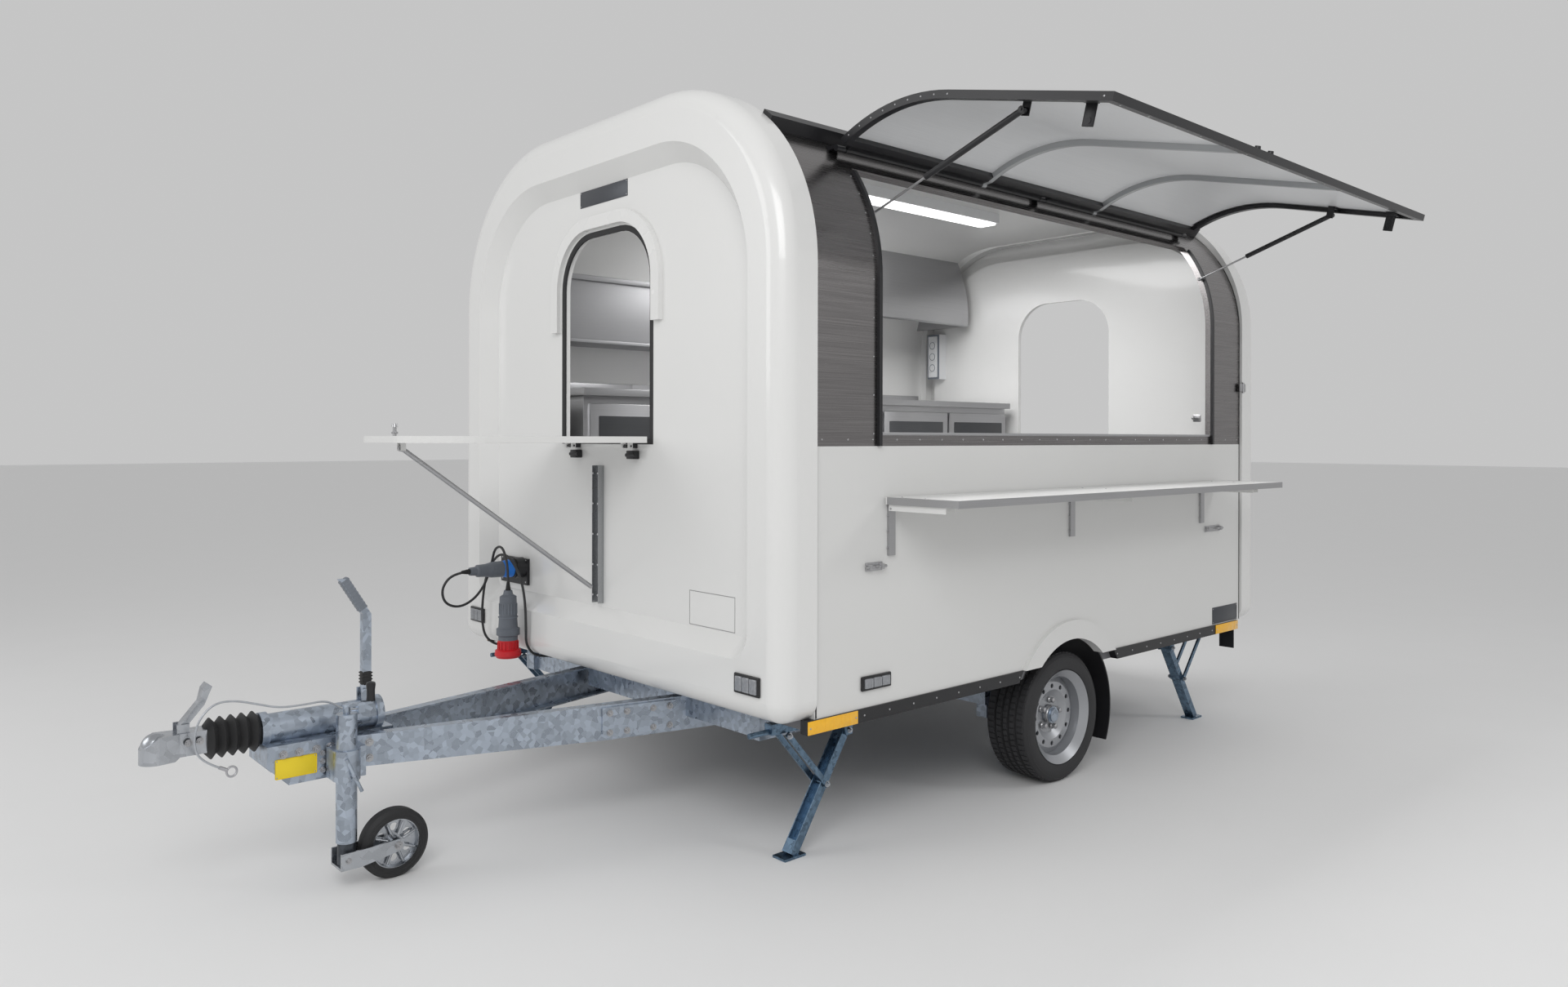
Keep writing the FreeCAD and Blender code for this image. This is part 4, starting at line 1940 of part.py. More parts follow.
cord("cord_adapter", ADAPTER_ROUTE, S["CordRadius"])
cord("cord_loop", LOOP_ROUTE, S["CordRadius"])
cord("breakaway_cable", BREAKAWAY_ROUTE, S["BreakawayRadius"])

doc.recompute()
os.makedirs("parts", exist_ok=True)
broken = [item.Label for item in doc.Objects if "Invalid" in item.State or "Error" in item.State]
broken += [item.Label for item in NODES if item.Shape.isNull() or not item.Shape.isValid()]
if broken:
    raise RuntimeError("these objects are broken: " + ", ".join(broken))
for item in NODES:
    item.Shape.exportStep(f"parts/{item.Label}.step")
box_all = FreeCAD.BoundBox()
for item in NODES:
    box_all.add(item.Shape.BoundBox)
print("nodes", len(NODES), "box", box_all)
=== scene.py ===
"""Catering trailer with its serving hatch open: finishes, small parts and studio."""

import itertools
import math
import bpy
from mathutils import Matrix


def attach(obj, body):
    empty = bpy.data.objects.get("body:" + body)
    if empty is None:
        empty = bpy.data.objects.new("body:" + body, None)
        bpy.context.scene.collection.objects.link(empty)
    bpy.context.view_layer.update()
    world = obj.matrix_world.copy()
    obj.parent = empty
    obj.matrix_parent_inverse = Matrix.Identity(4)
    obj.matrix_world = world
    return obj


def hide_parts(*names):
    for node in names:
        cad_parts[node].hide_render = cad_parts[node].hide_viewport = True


bl_info = {
    "name": "Catering Trailer",
    "version": (1, 0, 0),
    "blender": (4, 5, 0),
    "location": "View3D > Sidebar > Trailer",
    "description": "Finishes, trim and studio for a packed catering trailer",
    "category": "Object",
}

import bmesh
import bpy
from mathutils import Matrix, Vector

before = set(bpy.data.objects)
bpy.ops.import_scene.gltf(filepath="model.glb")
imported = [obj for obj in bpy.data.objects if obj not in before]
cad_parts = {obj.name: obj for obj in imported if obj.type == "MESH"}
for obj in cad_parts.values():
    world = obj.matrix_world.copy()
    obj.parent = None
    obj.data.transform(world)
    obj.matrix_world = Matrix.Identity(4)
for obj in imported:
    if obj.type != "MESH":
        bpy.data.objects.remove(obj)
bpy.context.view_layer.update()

# The cabin's front seam and centreline in the row frame, in metres.
SEAM_X = 0.692
CENTRE_Y = -0.431

# The cabin's main sizes in millimetres, measured from that seam and centreline.
SIDE = 1028
LENGTH = 2800
ROOF_TOP = 2470
ROOF_RADIUS = 610
ARC_BASE = ROOF_TOP - ROOF_RADIUS
PANEL_X = 88
RING_X = 148
REAR_PANEL_X = -LENGTH - PANEL_X
REAR_RING_X = -LENGTH - RING_X
SILL_TOP = 483
SILL_ROW = 461
SILL_FACE = 1034

# The front window, the flap over it and the recess round them.
WINDOW_HALF = 289
WINDOW_TOP = 2096
WINDOW_LOW = 1334
WINDOW_RADIUS = 190
FLAP_HALF = 304.5
FLAP_RADIUS = 205.5
FLAP_END = 927.5
FLAP_KNOB = (885, 12)
RECESS_HALF = 884
RECESS_TOP = 2335
RECESS_LOW = 655
RECESS_RADIUS = 475
RECESS_EDGE = 26

# The rear door's inner face, folded back, and its seal.
DOOR_FACE = -2984
DOOR_MIDDLE = 628.5
DOOR_HALF = 292
DOOR_TOP = 2088
DOOR_LOW = 748
DOOR_RADIUS = 196

# The shelf's latches, as breadth and height, and the places of its brackets.
LATCH_BAR = (1040, 930)
BRACKETS = (-340, -1380, -2420)

# The serving hatch: its closed edges, bars and skin, its hinge and how far it opens.
HATCH_FRONT = -240
HATCH_REAR = HATCH_FRONT - 2320
HATCH_LOW = 1290
HATCH_BAR = 28
HATCH_INNER = 12
HATCH_OUTER = 37
HATCH_SWING = 76.3
HINGE_ANGLE = 43.9
HINGE_PROUD = 24.5

# Wheels, cupboards, plugs, drawbar, jockey wheel and steadies.
WHEEL_X = -1374
WHEEL_Y = 905
WHEEL_Z = 252
TREAD_BLOCKS = 66
CUPBOARDS = 4
COUPLER = (208, -515)
PLUG = (-600, 811)
RAIL_SLOPE = 0.2315
JOCKEY_Y = 155
JOCKEY_HUB = (946, 104)
STEADY_Y = 850
STEADY_FOLD = -2740

# The photo's camera: its place in millimetres, its turns in degrees and its upward
# shift in pixels of the photo's width.
CAMERA_SPOT = (2292.6, 3427.9, 1340.4)
CAMERA_HEADING = 227.93
CAMERA_PITCH = -0.03
CAMERA_ROLL = 0.10
CAMERA_SHIFT = -66.8
PHOTO_WIDTH = 1920

# How sharp an edge has to be, in degrees, to stay unsmoothed.
SHARP = 35.0
CAD_SHARP = 30.0

# Depth of every finish's relief, its coat's roughness, the lamp's strength and a
# distance beyond the whole trailer, in metres.
RELIEF_DEPTH = 0.0005
COAT_ROUGHNESS = 0.08
GLOW = 2.5
FAR = 9.0

SIDES = (("left", 1), ("right", -1))
MATERIALS = {}


def at(x, y, z):
    """A point given from the front seam and centreline in millimetres."""
    return Vector((x / 1000 + SEAM_X, y / 1000 + CENTRE_Y, z / 1000))


def on_curve(angle, out=0.0):
    """Breadth and height of the serving side's roof curve, out from its face."""
    reach = ROOF_RADIUS + out
    turn = math.radians(angle)
    return (SIDE - ROOF_RADIUS + reach * math.cos(turn), ARC_BASE + reach * math.sin(turn))


HINGE_Y, HINGE_Z = on_curve(HINGE_ANGLE, HINGE_PROUD)


def lifted(x, y, z):
    """A spot of the closed hatch, moved to where the open hatch has it."""
    turn = math.radians(HATCH_SWING)
    across = y - HINGE_Y
    above = z - HINGE_Z
    return at(x, HINGE_Y + across * math.cos(turn) - above * math.sin(turn),
              HINGE_Z + across * math.sin(turn) + above * math.cos(turn))


def arch_line(half, radius, top, bottom, foot=0.0, steps=10):
    """The closed outline of an arched opening, as breadths and heights.

    Its lower corners are square, or rounded where foot is their radius.
    """
    turns = [math.radians(90 * step / steps) for step in range(steps + 1)]

    def corner(side, rise, end, size):
        spots = [(side * (half - size + size * math.cos(turn)),
                  end + rise * size * (math.sin(turn) - 1)) for turn in turns]
        return spots if side * rise > 0 else spots[::-1]

    line = corner(1, 1, top, radius) + corner(-1, 1, top, radius)
    if foot <= 0:
        return line + [(-half, bottom), (half, bottom)]
    return line + corner(-1, -1, bottom, foot) + corner(1, -1, bottom, foot)


# Surfaces


def feed(tree, socket, source):
    """Link an input where the source is an output, or set it to a value."""
    if isinstance(source, bpy.types.NodeSocket):
        tree.links.new(source, socket)
    else:
        socket.default_value = source


def add_node(tree, kind, *sources, operation=None, **values):
    """A shader node whose inputs take sources in order and values by name."""
    node = tree.nodes.new(f"ShaderNode{kind}")
    if operation:
        node.operation = operation
    for label, source in (*enumerate(sources), *values.items()):
        feed(tree, node.inputs[label], source)
    return node


def new_group(name, inputs, outputs, kind="NodeSocketFloat"):
    """A shared shader group, whose inputs come with their usual values."""
    group = bpy.data.node_groups.new(name, "ShaderNodeTree")
    for label, value in inputs.items():
        socket = group.interface.new_socket(label, in_out="INPUT", socket_type=kind)
        socket.default_value = value
    for label in outputs:
        group.interface.new_socket(label, in_out="OUTPUT", socket_type="NodeSocketFloat")
    start = group.nodes.new("NodeGroupInput").outputs
    end = group.nodes.new("NodeGroupOutput").inputs
    return group, start, end, add_node(group, "TexCoord").outputs["Object"]


def ramp_between(tree, factor, low, high):
    """Map a zero-to-one factor linearly between two values."""
    remap = add_node(tree, "MapRange", Value=factor, **{"To Min": low, "To Max": high})
    return remap.outputs["Result"]


def blend(tree, factor, first, second):
    """The mix of two colours, each a value or an output."""
    mix = tree.nodes.new("ShaderNodeMix")
    mix.data_type = "RGBA"
    for label, source in (("Factor", factor), ("A", first), ("B", second)):
        feed(tree, mix.inputs[label], source)
    return mix.outputs["Result"]


def build_cloud_group():
    """Slow and fine noise together, for colour drift and a faint relief."""
    group, start, end, place = new_group(
        "Surface drift", {"Scale": 3.0, "Fine scale": 220.0}, ("Drift", "Relief"))
    for scale, detail, result in (("Scale", 3.0, "Drift"), ("Fine scale", 2.0, "Relief")):
        noise = add_node(group, "TexNoise", Vector=place, Scale=start[scale], Detail=detail)
        feed(group, end[result], noise.outputs["Fac"])


def build_brush_group():
    """Long parallel scratches left by a brushing belt along X."""
    group, start, end, place = new_group(
        "Brushed lines", {"Across": 420.0, "Along": 3.0}, ("Lines", "Cloud"))
    across = start["Across"]
    stretch = add_node(group, "CombineXYZ", start["Along"], across, across)
    scaled = add_node(group, "VectorMath", place, stretch.outputs["Vector"],
                      operation="MULTIPLY")
    lines = add_node(group, "TexNoise", Vector=scaled.outputs["Vector"], Scale=1.0, Detail=4.0)
    cloud = add_node(group, "TexNoise", Vector=place, Scale=2.2)
    feed(group, end["Lines"], lines.outputs["Fac"])
    feed(group, end["Cloud"], cloud.outputs["Fac"])


def build_spangle_group():
    """The crystal patches of hot-dip zinc."""
    group, start, end, place = new_group("Zinc spangle", {"Scale": 55.0}, ("Patch", "Stain"))
    cells = add_node(group, "TexVoronoi", Vector=place, Scale=start["Scale"], Randomness=1.0)
    split = add_node(group, "SeparateColor", cells.outputs["Color"])
    stain = add_node(group, "TexNoise", Vector=place, Scale=9.0, Detail=6.0)
    feed(group, end["Patch"], split.outputs["Red"])
    feed(group, end["Stain"], stain.outputs["Fac"])


def build_zone_group():
    """One inside a box of the object's own axes and zero outside it."""
    group, start, end, place = new_group(
        "Inside box", {"Low": (-FAR, -FAR, -FAR), "High": (FAR, FAR, FAR)}, ("Mask",),
        "NodeSocketVector")
    spot, low, high = [add_node(group, "SeparateXYZ", source).outputs
                       for source in (place, start["Low"], start["High"])]
    mask = None
    for axis in "XYZ":
        for limit, kind in ((low, "GREATER_THAN"), (high, "LESS_THAN")):
            test = add_node(group, "Math", spot[axis], limit[axis], operation=kind)
            if mask is not None:
                test = add_node(group, "Math", mask, test.outputs["Value"],
                                operation="MULTIPLY")
            mask = test.outputs["Value"]
    feed(group, end["Mask"], mask)


def finish_material(name, group, colour, metallic, rough, tint, bump, coat=0.0, scales=()):
    """A surface whose colour and roughness drift a little, over a faint relief."""
    material = bpy.data.materials.new(name)
    material.use_nodes = True
    tree = material.node_tree
    shader = tree.nodes["Principled BSDF"].inputs
    effect = tree.nodes.new("ShaderNodeGroup")
    effect.node_tree = bpy.data.node_groups[group]
    for socket, scale in zip(effect.inputs, scales):
        socket.default_value = scale
    drift, height = effect.outputs
    darker = [channel * (1.0 - tint) for channel in colour]
    lighter = [min(1.0, channel * (1.0 + tint)) for channel in colour]
    feed(tree, shader["Base Color"], blend(tree, drift, (*darker, 1.0), (*lighter, 1.0)))
    feed(tree, shader["Roughness"], ramp_between(tree, drift, *rough))
    relief = add_node(tree, "Bump", Strength=bump, Distance=RELIEF_DEPTH, Height=height)
    feed(tree, shader["Normal"], relief.outputs["Normal"])
    shader["Metallic"].default_value = metallic
    shader["Coat Weight"].default_value = coat
    shader["Coat Roughness"].default_value = COAT_ROUGHNESS
    MATERIALS[name] = material


def paint_zone(name, low, high, colour, metallic=0.0):
    """Recolour the part of a finish inside a box of the row frame, in metres."""
    tree = MATERIALS[name].node_tree
    shader = tree.nodes["Principled BSDF"].inputs
    zone = tree.nodes.new("ShaderNodeGroup")
    zone.node_tree = bpy.data.node_groups["Inside box"]
    zone.inputs["Low"].default_value = low
    zone.inputs["High"].default_value = high
    mask = zone.outputs["Mask"]
    before = shader["Base Color"].links[0].from_socket
    feed(tree, shader["Base Color"], blend(tree, mask, before, (*colour, 1.0)))
    if metallic > 0:
        feed(tree, shader["Metallic"], ramp_between(tree, mask, 0.0, metallic))


# Making pieces


def new_object(name, data):
    """An object in the scene that shows a mesh, a curve, a lamp or a camera."""
    item = bpy.data.objects.new(name, data)
    bpy.context.scene.collection.objects.link(item)
    return item


def new_mesh(name, bm):
    """Turn a bmesh into a mesh and free it."""
    mesh = bpy.data.meshes.new(name)
    bm.to_mesh(mesh)
    bm.free()
    return mesh


def finish_piece(name, bm, finish, body="trailer"):
    """Turn a bmesh into a piece that rides on a body."""
    bmesh.ops.remove_doubles(bm, verts=bm.verts, dist=1e-6)
    bmesh.ops.recalc_face_normals(bm, faces=bm.faces)
    for face in bm.faces:
        face.smooth = True
    mesh = new_mesh(name, bm)
    piece = new_object(name, mesh)
    for label in finish if isinstance(finish, tuple) else (finish,):
        mesh.materials.append(MATERIALS[label])
    mesh.set_sharp_from_angle(angle=math.radians(SHARP))
    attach(piece, body)
    return piece


def paint_faces(verts, index):
    """Give the faces of new corners a material number."""
    for vert in verts:
        for face in vert.link_faces:
            face.material_index = index


def add_block(bm, middle, size, bevel=0.0, turn=None, index=0, segments=2):
    """A block about a point, sized and rounded in millimetres."""
    verts = bmesh.ops.create_cube(bm, size=1.0)["verts"]
    bmesh.ops.scale(bm, vec=Vector(size) / 1000, verts=verts)
    if bevel > 0:
        edges = list({edge for vert in verts for edge in vert.link_edges})
        rounded = bmesh.ops.bevel(bm, geom=edges, offset=bevel / 1000, offset_type="OFFSET",
                                  affect="EDGES", segments=segments, profile=0.5, material=-1)
        kept = {vert for vert in verts if vert.is_valid}
        verts = list({vert for face in rounded["faces"] for vert in face.verts} | kept)
    place = Matrix.Translation(middle) @ (turn.to_4x4() if turn else Matrix.Identity(4))
    bmesh.ops.transform(bm, matrix=place, verts=verts)
    paint_faces(verts, index)


def add_box(bm, x_span, y_span, z_span, bevel=0.0, index=0, spot=at):
    """A block between limits given in millimetres of the cabin."""
    spans = (x_span, y_span, z_span)
    middle = [(low + high) / 2 for low, high in spans]
    size = [abs(high - low) for low, high in spans]
    turn = Matrix.Rotation(math.radians(HATCH_SWING), 3, "X") if spot is lifted else None
    add_block(bm, spot(*middle), size, bevel, turn, index)


def add_rod(bm, start, end, radius, sides=20, end_radius=None, index=0):
    """A closed round bar between two points; the radius is in millimetres."""
    start, end = Vector(start), Vector(end)
    along = end - start
    turn = along.to_track_quat("Z", "Y").to_matrix().to_4x4()
    made = bmesh.ops.create_cone(
        bm, cap_ends=True, segments=sides, radius1=radius / 1000,
        radius2=(radius if end_radius is None else end_radius) / 1000, depth=along.length,
        matrix=Matrix.Translation((start + end) / 2) @ turn)
    paint_faces(made["verts"], index)


def add_bar(bm, x, y, z, radius, sides=16, end_radius=None, index=0):
    """A round bar along the axis whose place is given as (start, end)."""
    start, end = zip(*(place if isinstance(place, tuple) else (place, place)
                       for place in (x, y, z)))
    add_rod(bm, at(*start), at(*end), radius, sides, end_radius, index)


def add_dome(bm, spot, way, radius, height, index=0):
    """A low rounded head, such as a rivet's; sizes are in millimetres."""
    turn = Vector(way).to_track_quat("Z", "Y").to_matrix().to_4x4()
    shape = Matrix.Diagonal((radius / 1000, radius / 1000, height / 1000, 1))
    made = bmesh.ops.create_uvsphere(bm, u_segments=10, v_segments=6, radius=1.0,
                                     matrix=Matrix.Translation(spot) @ turn @ shape)
    paint_faces(made["verts"], index)


def grid(*places):
    """Every crossing of places along x, y and z; a lone number is one place."""
    rows = [place if isinstance(place, (tuple, list)) else (place,) for place in places]
    return [at(*spot) for spot in itertools.product(*rows)]


def add_heads(bm, spots, way, radius, height, index=0):
    """A rounded head at each spot."""
    for spot in spots:
        add_dome(bm, spot, way, radius, height, index)


def add_bolt(bm, spot, way, size):
    """A hexagon head on its washer, with the thread's end; size is the thread's."""
    spot, way = Vector(spot), Vector(way).normalized()
    add_rod(bm, spot, spot + way * size * 0.0002, size * 1.15, 16)
    top = spot + way * size * 0.0009
    add_rod(bm, spot, top, size * 0.9, 6)
    add_rod(bm, top, top + way * size * 0.0004, size * 0.5, 12, size * 0.42)


def add_spin(bm, line, centre, axis, steps):
    """Turn an outline of (along, radius) millimetres a full circle about an axis."""
    axis = Vector(axis).normalized()
    side = axis.orthogonal().normalized()
    centre = Vector(centre)
    verts = [bm.verts.new(centre + (axis * along + side * radius) / 1000)
             for along, radius in line]
    edges = [bm.edges.new(pair) for pair in zip(verts, verts[1:])]
    bmesh.ops.spin(bm, geom=verts + edges, cent=centre, axis=axis, angle=math.tau,
                   steps=steps, use_merge=True)


def flat_bar(wide, thick, crown=0.0):
    """The section of a moulding, as (across, out) millimetres."""
    half = wide / 2
    middle = [(0, thick + crown)] if crown > 0 else []
    return [(-half, 0), (-half, thick), *middle, (half, thick), (half, 0)]


def add_strip(bm, path, section, out=None, across=None, closed=False):
    """Push a section of (across, out) millimetres along a path.

    Either the way out of the surface or the way across the strip stays fixed.
    """
    path = [Vector(spot) for spot in path]
    rows = []
    last = len(path) - 1
    for place, spot in enumerate(path):
        before = path[place - 1] if place or closed else None
        after = path[(place + 1) % len(path)] if place < last or closed else None
        ways = [(second - first).normalized() for first, second in
                ((before, spot), (spot, after)) if first is not None and second is not None]
        along = sum(ways, Vector()).normalized()
        mitre = 1.0 / max(0.5, along.dot(ways[0]))
        if out is not None:
            proud = Vector(out).normalized()
            side = proud.cross(along).normalized() * mitre
        else:
            side = Vector(across).normalized()
            proud = along.cross(side).normalized() * mitre
        rows.append([spot + (side * wide + proud * high) / 1000 for wide, high in section])
    start = bm.faces.new([bm.verts.new(spot) for spot in rows[0]])
    face = start
    for row in rows[1:] + (rows[:1] if closed else []):
        corners = [vert.co.copy() for vert in face.verts]
        grown = bmesh.ops.extrude_face_region(bm, geom=[face])["geom"]
        verts = [item for item in grown if isinstance(item, bmesh.types.BMVert)]
        face = next(item for item in grown if isinstance(item, bmesh.types.BMFace))
        order = {tuple(spot): number for number, spot in enumerate(corners)}
        for vert in verts:
            vert.co = row[order[tuple(vert.co)]]
    if closed:
        bmesh.ops.delete(bm, geom=[start, face], context="FACES_ONLY")


def add_outline(bm, x, line, section, way=1):
    """A closed strip round an outline of (breadth, height) on a face across X."""
    add_strip(bm, [at(x, y, z) for y, z in line], section, out=(way, 0, 0), closed=True)


def add_plate(bm, outline, way, thick):
    """A flat plate from a closed outline, thick in millimetres along a direction."""
    face = bm.faces.new([bm.verts.new(spot) for spot in outline])
    grown = bmesh.ops.extrude_face_region(bm, geom=[face])["geom"]
    verts = [item for item in grown if isinstance(item, bmesh.types.BMVert)]
    bmesh.ops.translate(bm, vec=Vector(way).normalized() * thick / 1000, verts=verts)


def ring_points(centre, radius, way, count, start=0.0):
    """Spots round a circle; radius in millimetres, way is the circle's axis."""
    way = Vector(way).normalized()
    side = way.orthogonal().normalized()
    turns = (Matrix.Rotation(math.tau * step / count + start, 3, way) for step in range(count))
    return [Vector(centre) + turn @ side * radius / 1000 for turn in turns]


def even_spots(low, high, gap):
    """Evenly spread places between two ends, about a gap apart."""
    count = max(1, round(abs(high - low) / gap))
    return [low + (high - low) * step / count for step in range(count + 1)]


def dress_cad(node, finish):
    """Give a carried-over CAD node its finish and smooth shading."""
    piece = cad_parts[node]
    piece.data.materials.clear()
    piece.data.materials.append(MATERIALS[finish])
    piece.data.set_sharp_from_angle(angle=math.radians(CAD_SHARP))
    return piece


# Settings


# What every colour setting has in common.
COLOUR = {"subtype": "COLOR", "size": 3, "min": 0.0, "max": 1.0}


class TrailerFinish(bpy.types.PropertyGroup):
    """Colours of the trailer's main surfaces."""

    shell: bpy.props.FloatVectorProperty(
        name="Shell", description="Gel-coat colour of the end mouldings",
        **COLOUR, default=(0.76, 0.76, 0.75))
    panel: bpy.props.FloatVectorProperty(
        name="Side panel", description="Paint of the cabin's side panels",
        **COLOUR, default=(0.70, 0.70, 0.69))
    # The steel's dark default colour is a painted reflection: it stands in for the dark
    # surroundings that the brushed metal mirrors, not the metal's own brightness.
    steel: bpy.props.FloatVectorProperty(
        name="Steel", description="Brushed steel around the serving opening",
        **COLOUR, default=(0.24, 0.23, 0.23))
    zinc: bpy.props.FloatVectorProperty(
        name="Zinc", description="Hot-dip zinc on the chassis",
        **COLOUR, default=(0.40, 0.45, 0.52))
    black: bpy.props.FloatVectorProperty(
        name="Black", description="Black profiles and plastic",
        **COLOUR, default=(0.012, 0.012, 0.014))
    amber: bpy.props.FloatVectorProperty(
        name="Reflector", description="Side reflectors",
        **COLOUR, default=(0.95, 0.48, 0.01))


class TrailerStudio(bpy.types.PropertyGroup):
    """Light and camera of the studio."""

    focal: bpy.props.FloatProperty(
        name="Focal length", description="Lens of the camera in millimetres",
        default=25.0, min=10.0, max=200.0)
    key_light: bpy.props.FloatProperty(
        name="Key light", description="Power of the main softbox in watts",
        default=125.0, min=0.0, max=5000.0)
    cabin_light: bpy.props.FloatProperty(
        name="Cabin light", description="Power of the light inside the cabin in watts",
        default=36.0, min=0.0, max=1000.0)


class TrailerOperator(bpy.types.Operator):
    """Shared by the operators that build the trailer."""

    bl_options = {"REGISTER", "UNDO"}

    @property
    def finish(self):
        return bpy.context.scene.trailer_finish

    @property
    def studio(self):
        return bpy.context.scene.trailer_studio


# Each finish has its colour, or the setting that holds it, then metallic, the span of
# its roughness, the colour's drift, the bump, the coat and the group's own scales.
FINISHES = {
    "Surface drift": {
        "gelcoat": ("shell", 0, (0.2, 0.3), 0.012, 0.03, 0.4, (1.5, 60)),
        "side paint": ("panel", 0, (0.3, 0.4), 0.02, 0.03, 0.2, (1.2, 90)),
        "cabin lining": ((0.78, 0.79, 0.80), 0, (0.3, 0.42), 0.01, 0.02, 0, (2, 120)),
        "black profile": ("black", 0, (0.3, 0.45), 0.3, 0.05),
        "rubber": ((0.018, 0.018, 0.019), 0, (0.55, 0.75), 0.35, 0.25, 0, (12, 380)),
        "cable sheath": ((0.03, 0.03, 0.032), 0, (0.45, 0.6), 0.25, 0.2, 0, (16, 700)),
        "wire sheath": ((0.42, 0.44, 0.47), 0.4, (0.25, 0.4), 0.2, 0.3, 0.5, (60, 900)),
        "tyre rubber": ((0.026, 0.026, 0.028), 0, (0.6, 0.82), 0.3, 0.3, 0, (7, 300)),
        "rim paint": ((0.40, 0.41, 0.43), 0.7, (0.3, 0.42), 0.06, 0.05, 0, (9, 500)),
        "amber lens": ("amber", 0, (0.12, 0.2), 0.12, 0.3, 0.6, (90, 400)),
        "red lens": ((0.55, 0.01, 0.01), 0, (0.1, 0.18), 0.15, 0.3, 0.6, (90, 400)),
        "clear lens": ((0.26, 0.27, 0.29), 0, (0.06, 0.14), 0.25, 0.5, 1, (120, 500)),
        "laminate": ((0.74, 0.74, 0.73), 0, (0.28, 0.4), 0.02, 0.04, 0, (4, 260)),
        "floor covering": ((0.16, 0.16, 0.17), 0, (0.5, 0.7), 0.2, 0.2, 0, (30, 400)),
        "grey plastic": ((0.17, 0.19, 0.22), 0, (0.4, 0.52), 0.1, 0.12, 0, (20, 600)),
        "red plastic": ((0.55, 0.015, 0.02), 0, (0.3, 0.42), 0.12, 0.1, 0, (25, 500)),
        "joint shadow": ((0.30, 0.30, 0.30), 0, (0.5, 0.6), 0.08, 0.05, 0, (6, 200)),
        "yellow plate": ((0.82, 0.62, 0.02), 0, (0.35, 0.45), 0.06, 0.05, 0, (12, 400)),
        "plug plastic": ((0.13, 0.145, 0.17), 0, (0.38, 0.5), 0.1, 0.12, 0, (20, 600)),
        "front fittings": ("shell", 0, (0.22, 0.32), 0.03, 0.05, 0, (6, 200)),
        "hatch profile": ("black", 0, (0.24, 0.38), 0.3, 0.05),
        "lamp glow": ((1, 1, 1), 0, (0.3, 0.4), 0, 0.05),
        "studio floor": ((0.82, 0.82, 0.82), 0, (0.75, 0.85), 0.01, 0.05),
    },
    "Brushed lines": {
        # Takes the dark steel colour, which paints in the reflection of dark surroundings on the
        # brushed metal.
        "brushed steel": ("steel", 1, (0.18, 0.34), 0.4, 0.08),
        "bright steel": ((0.46, 0.46, 0.47), 1, (0.28, 0.42), 0.12, 0.06),
        "satin steel": ((0.34, 0.34, 0.35), 0.5, (0.42, 0.55), 0.06, 0.03),
        "hatch lining": ((0.8, 0.81, 0.82), 0, (0.28, 0.4), 0.05, 0.02, 0, (160,)),
        "cupboard dark": ((0.05, 0.052, 0.056), 0.3, (0.25, 0.4), 0.2, 0.04),
        "dark plate": ((0.07, 0.075, 0.085), 0.5, (0.3, 0.42), 0.15, 0.04),
    },
    "Zinc spangle": {
        "zinc": ("zinc", 0.9, (0.24, 0.46), 0.26, 0.05),
        "bright zinc": ((0.46, 0.48, 0.51), 1, (0.22, 0.34), 0.12, 0.02, 0, (40,)),
        "dark zinc": ((0.07, 0.078, 0.09), 0.7, (0.3, 0.45), 0.25, 0.1, 0, (70,)),
        "blue zinc": ((0.14, 0.21, 0.29), 0.9, (0.25, 0.4), 0.3, 0.08, 0, (90,)),
    },
}


class TRAILER_OT_materials(TrailerOperator):
    """Build the shared surface groups and every finish"""

    bl_idname = "trailer.materials"
    bl_label = "Trailer Finishes"

    def execute(self, context):
        build_cloud_group()
        build_brush_group()
        build_spangle_group()
        build_zone_group()
        for group, finishes in FINISHES.items():
            for name, (colour, *values) in finishes.items():
                shown = getattr(self.finish, colour) if isinstance(colour, str) else colour
                finish_material(name, group, shown, *values)
        self.paint_zones()
        glow = MATERIALS["lamp glow"].node_tree.nodes["Principled BSDF"].inputs
        glow["Emission Color"].default_value = (1.0, 1.0, 1.0, 1.0)
        glow["Emission Strength"].default_value = GLOW
        return {"FINISHED"}

    def paint_zones(self):
        """Give nodes that are made of several materials their other colours."""
        black, grey = (0.015, 0.015, 0.017), (0.4, 0.41, 0.42)
        for name, low, high, colour, metallic in (
            ("plug plastic", (-FAR, -FAR, 0.76), (0.884, FAR, FAR), (0.01, 0.2, 0.75), 0.0),
            ("plug plastic", (-FAR, -FAR, -FAR), (FAR, FAR, 0.539), (0.6, 0.012, 0.02), 0.0),
            ("plug plastic", (1.5, -FAR, -FAR), (FAR, FAR, FAR), (0.5, 0.5, 0.52), 1.0),
            ("front fittings", (-FAR, -FAR, 1.25), (FAR, FAR, 1.34), black, 0.0),
            ("front fittings", (-FAR, -FAR, -FAR), (FAR, FAR, 1.25), grey, 0.9),
        ):
            paint_zone(name, low, high, colour, metallic)
        bay = (HATCH_REAR - HATCH_FRONT + 2 * HATCH_BAR) / 3
        edge = lifted(0, SIDE, HATCH_LOW + HATCH_BAR + 2).y
        for number in (1, 2):
            middle = at(HATCH_FRONT - HATCH_BAR + number * bay, 0, 0).x
            paint_zone("hatch profile", (middle - 0.012, -FAR, -FAR),
                       (middle + 0.012, edge, FAR), (0.42, 0.43, 0.44), 0.6)


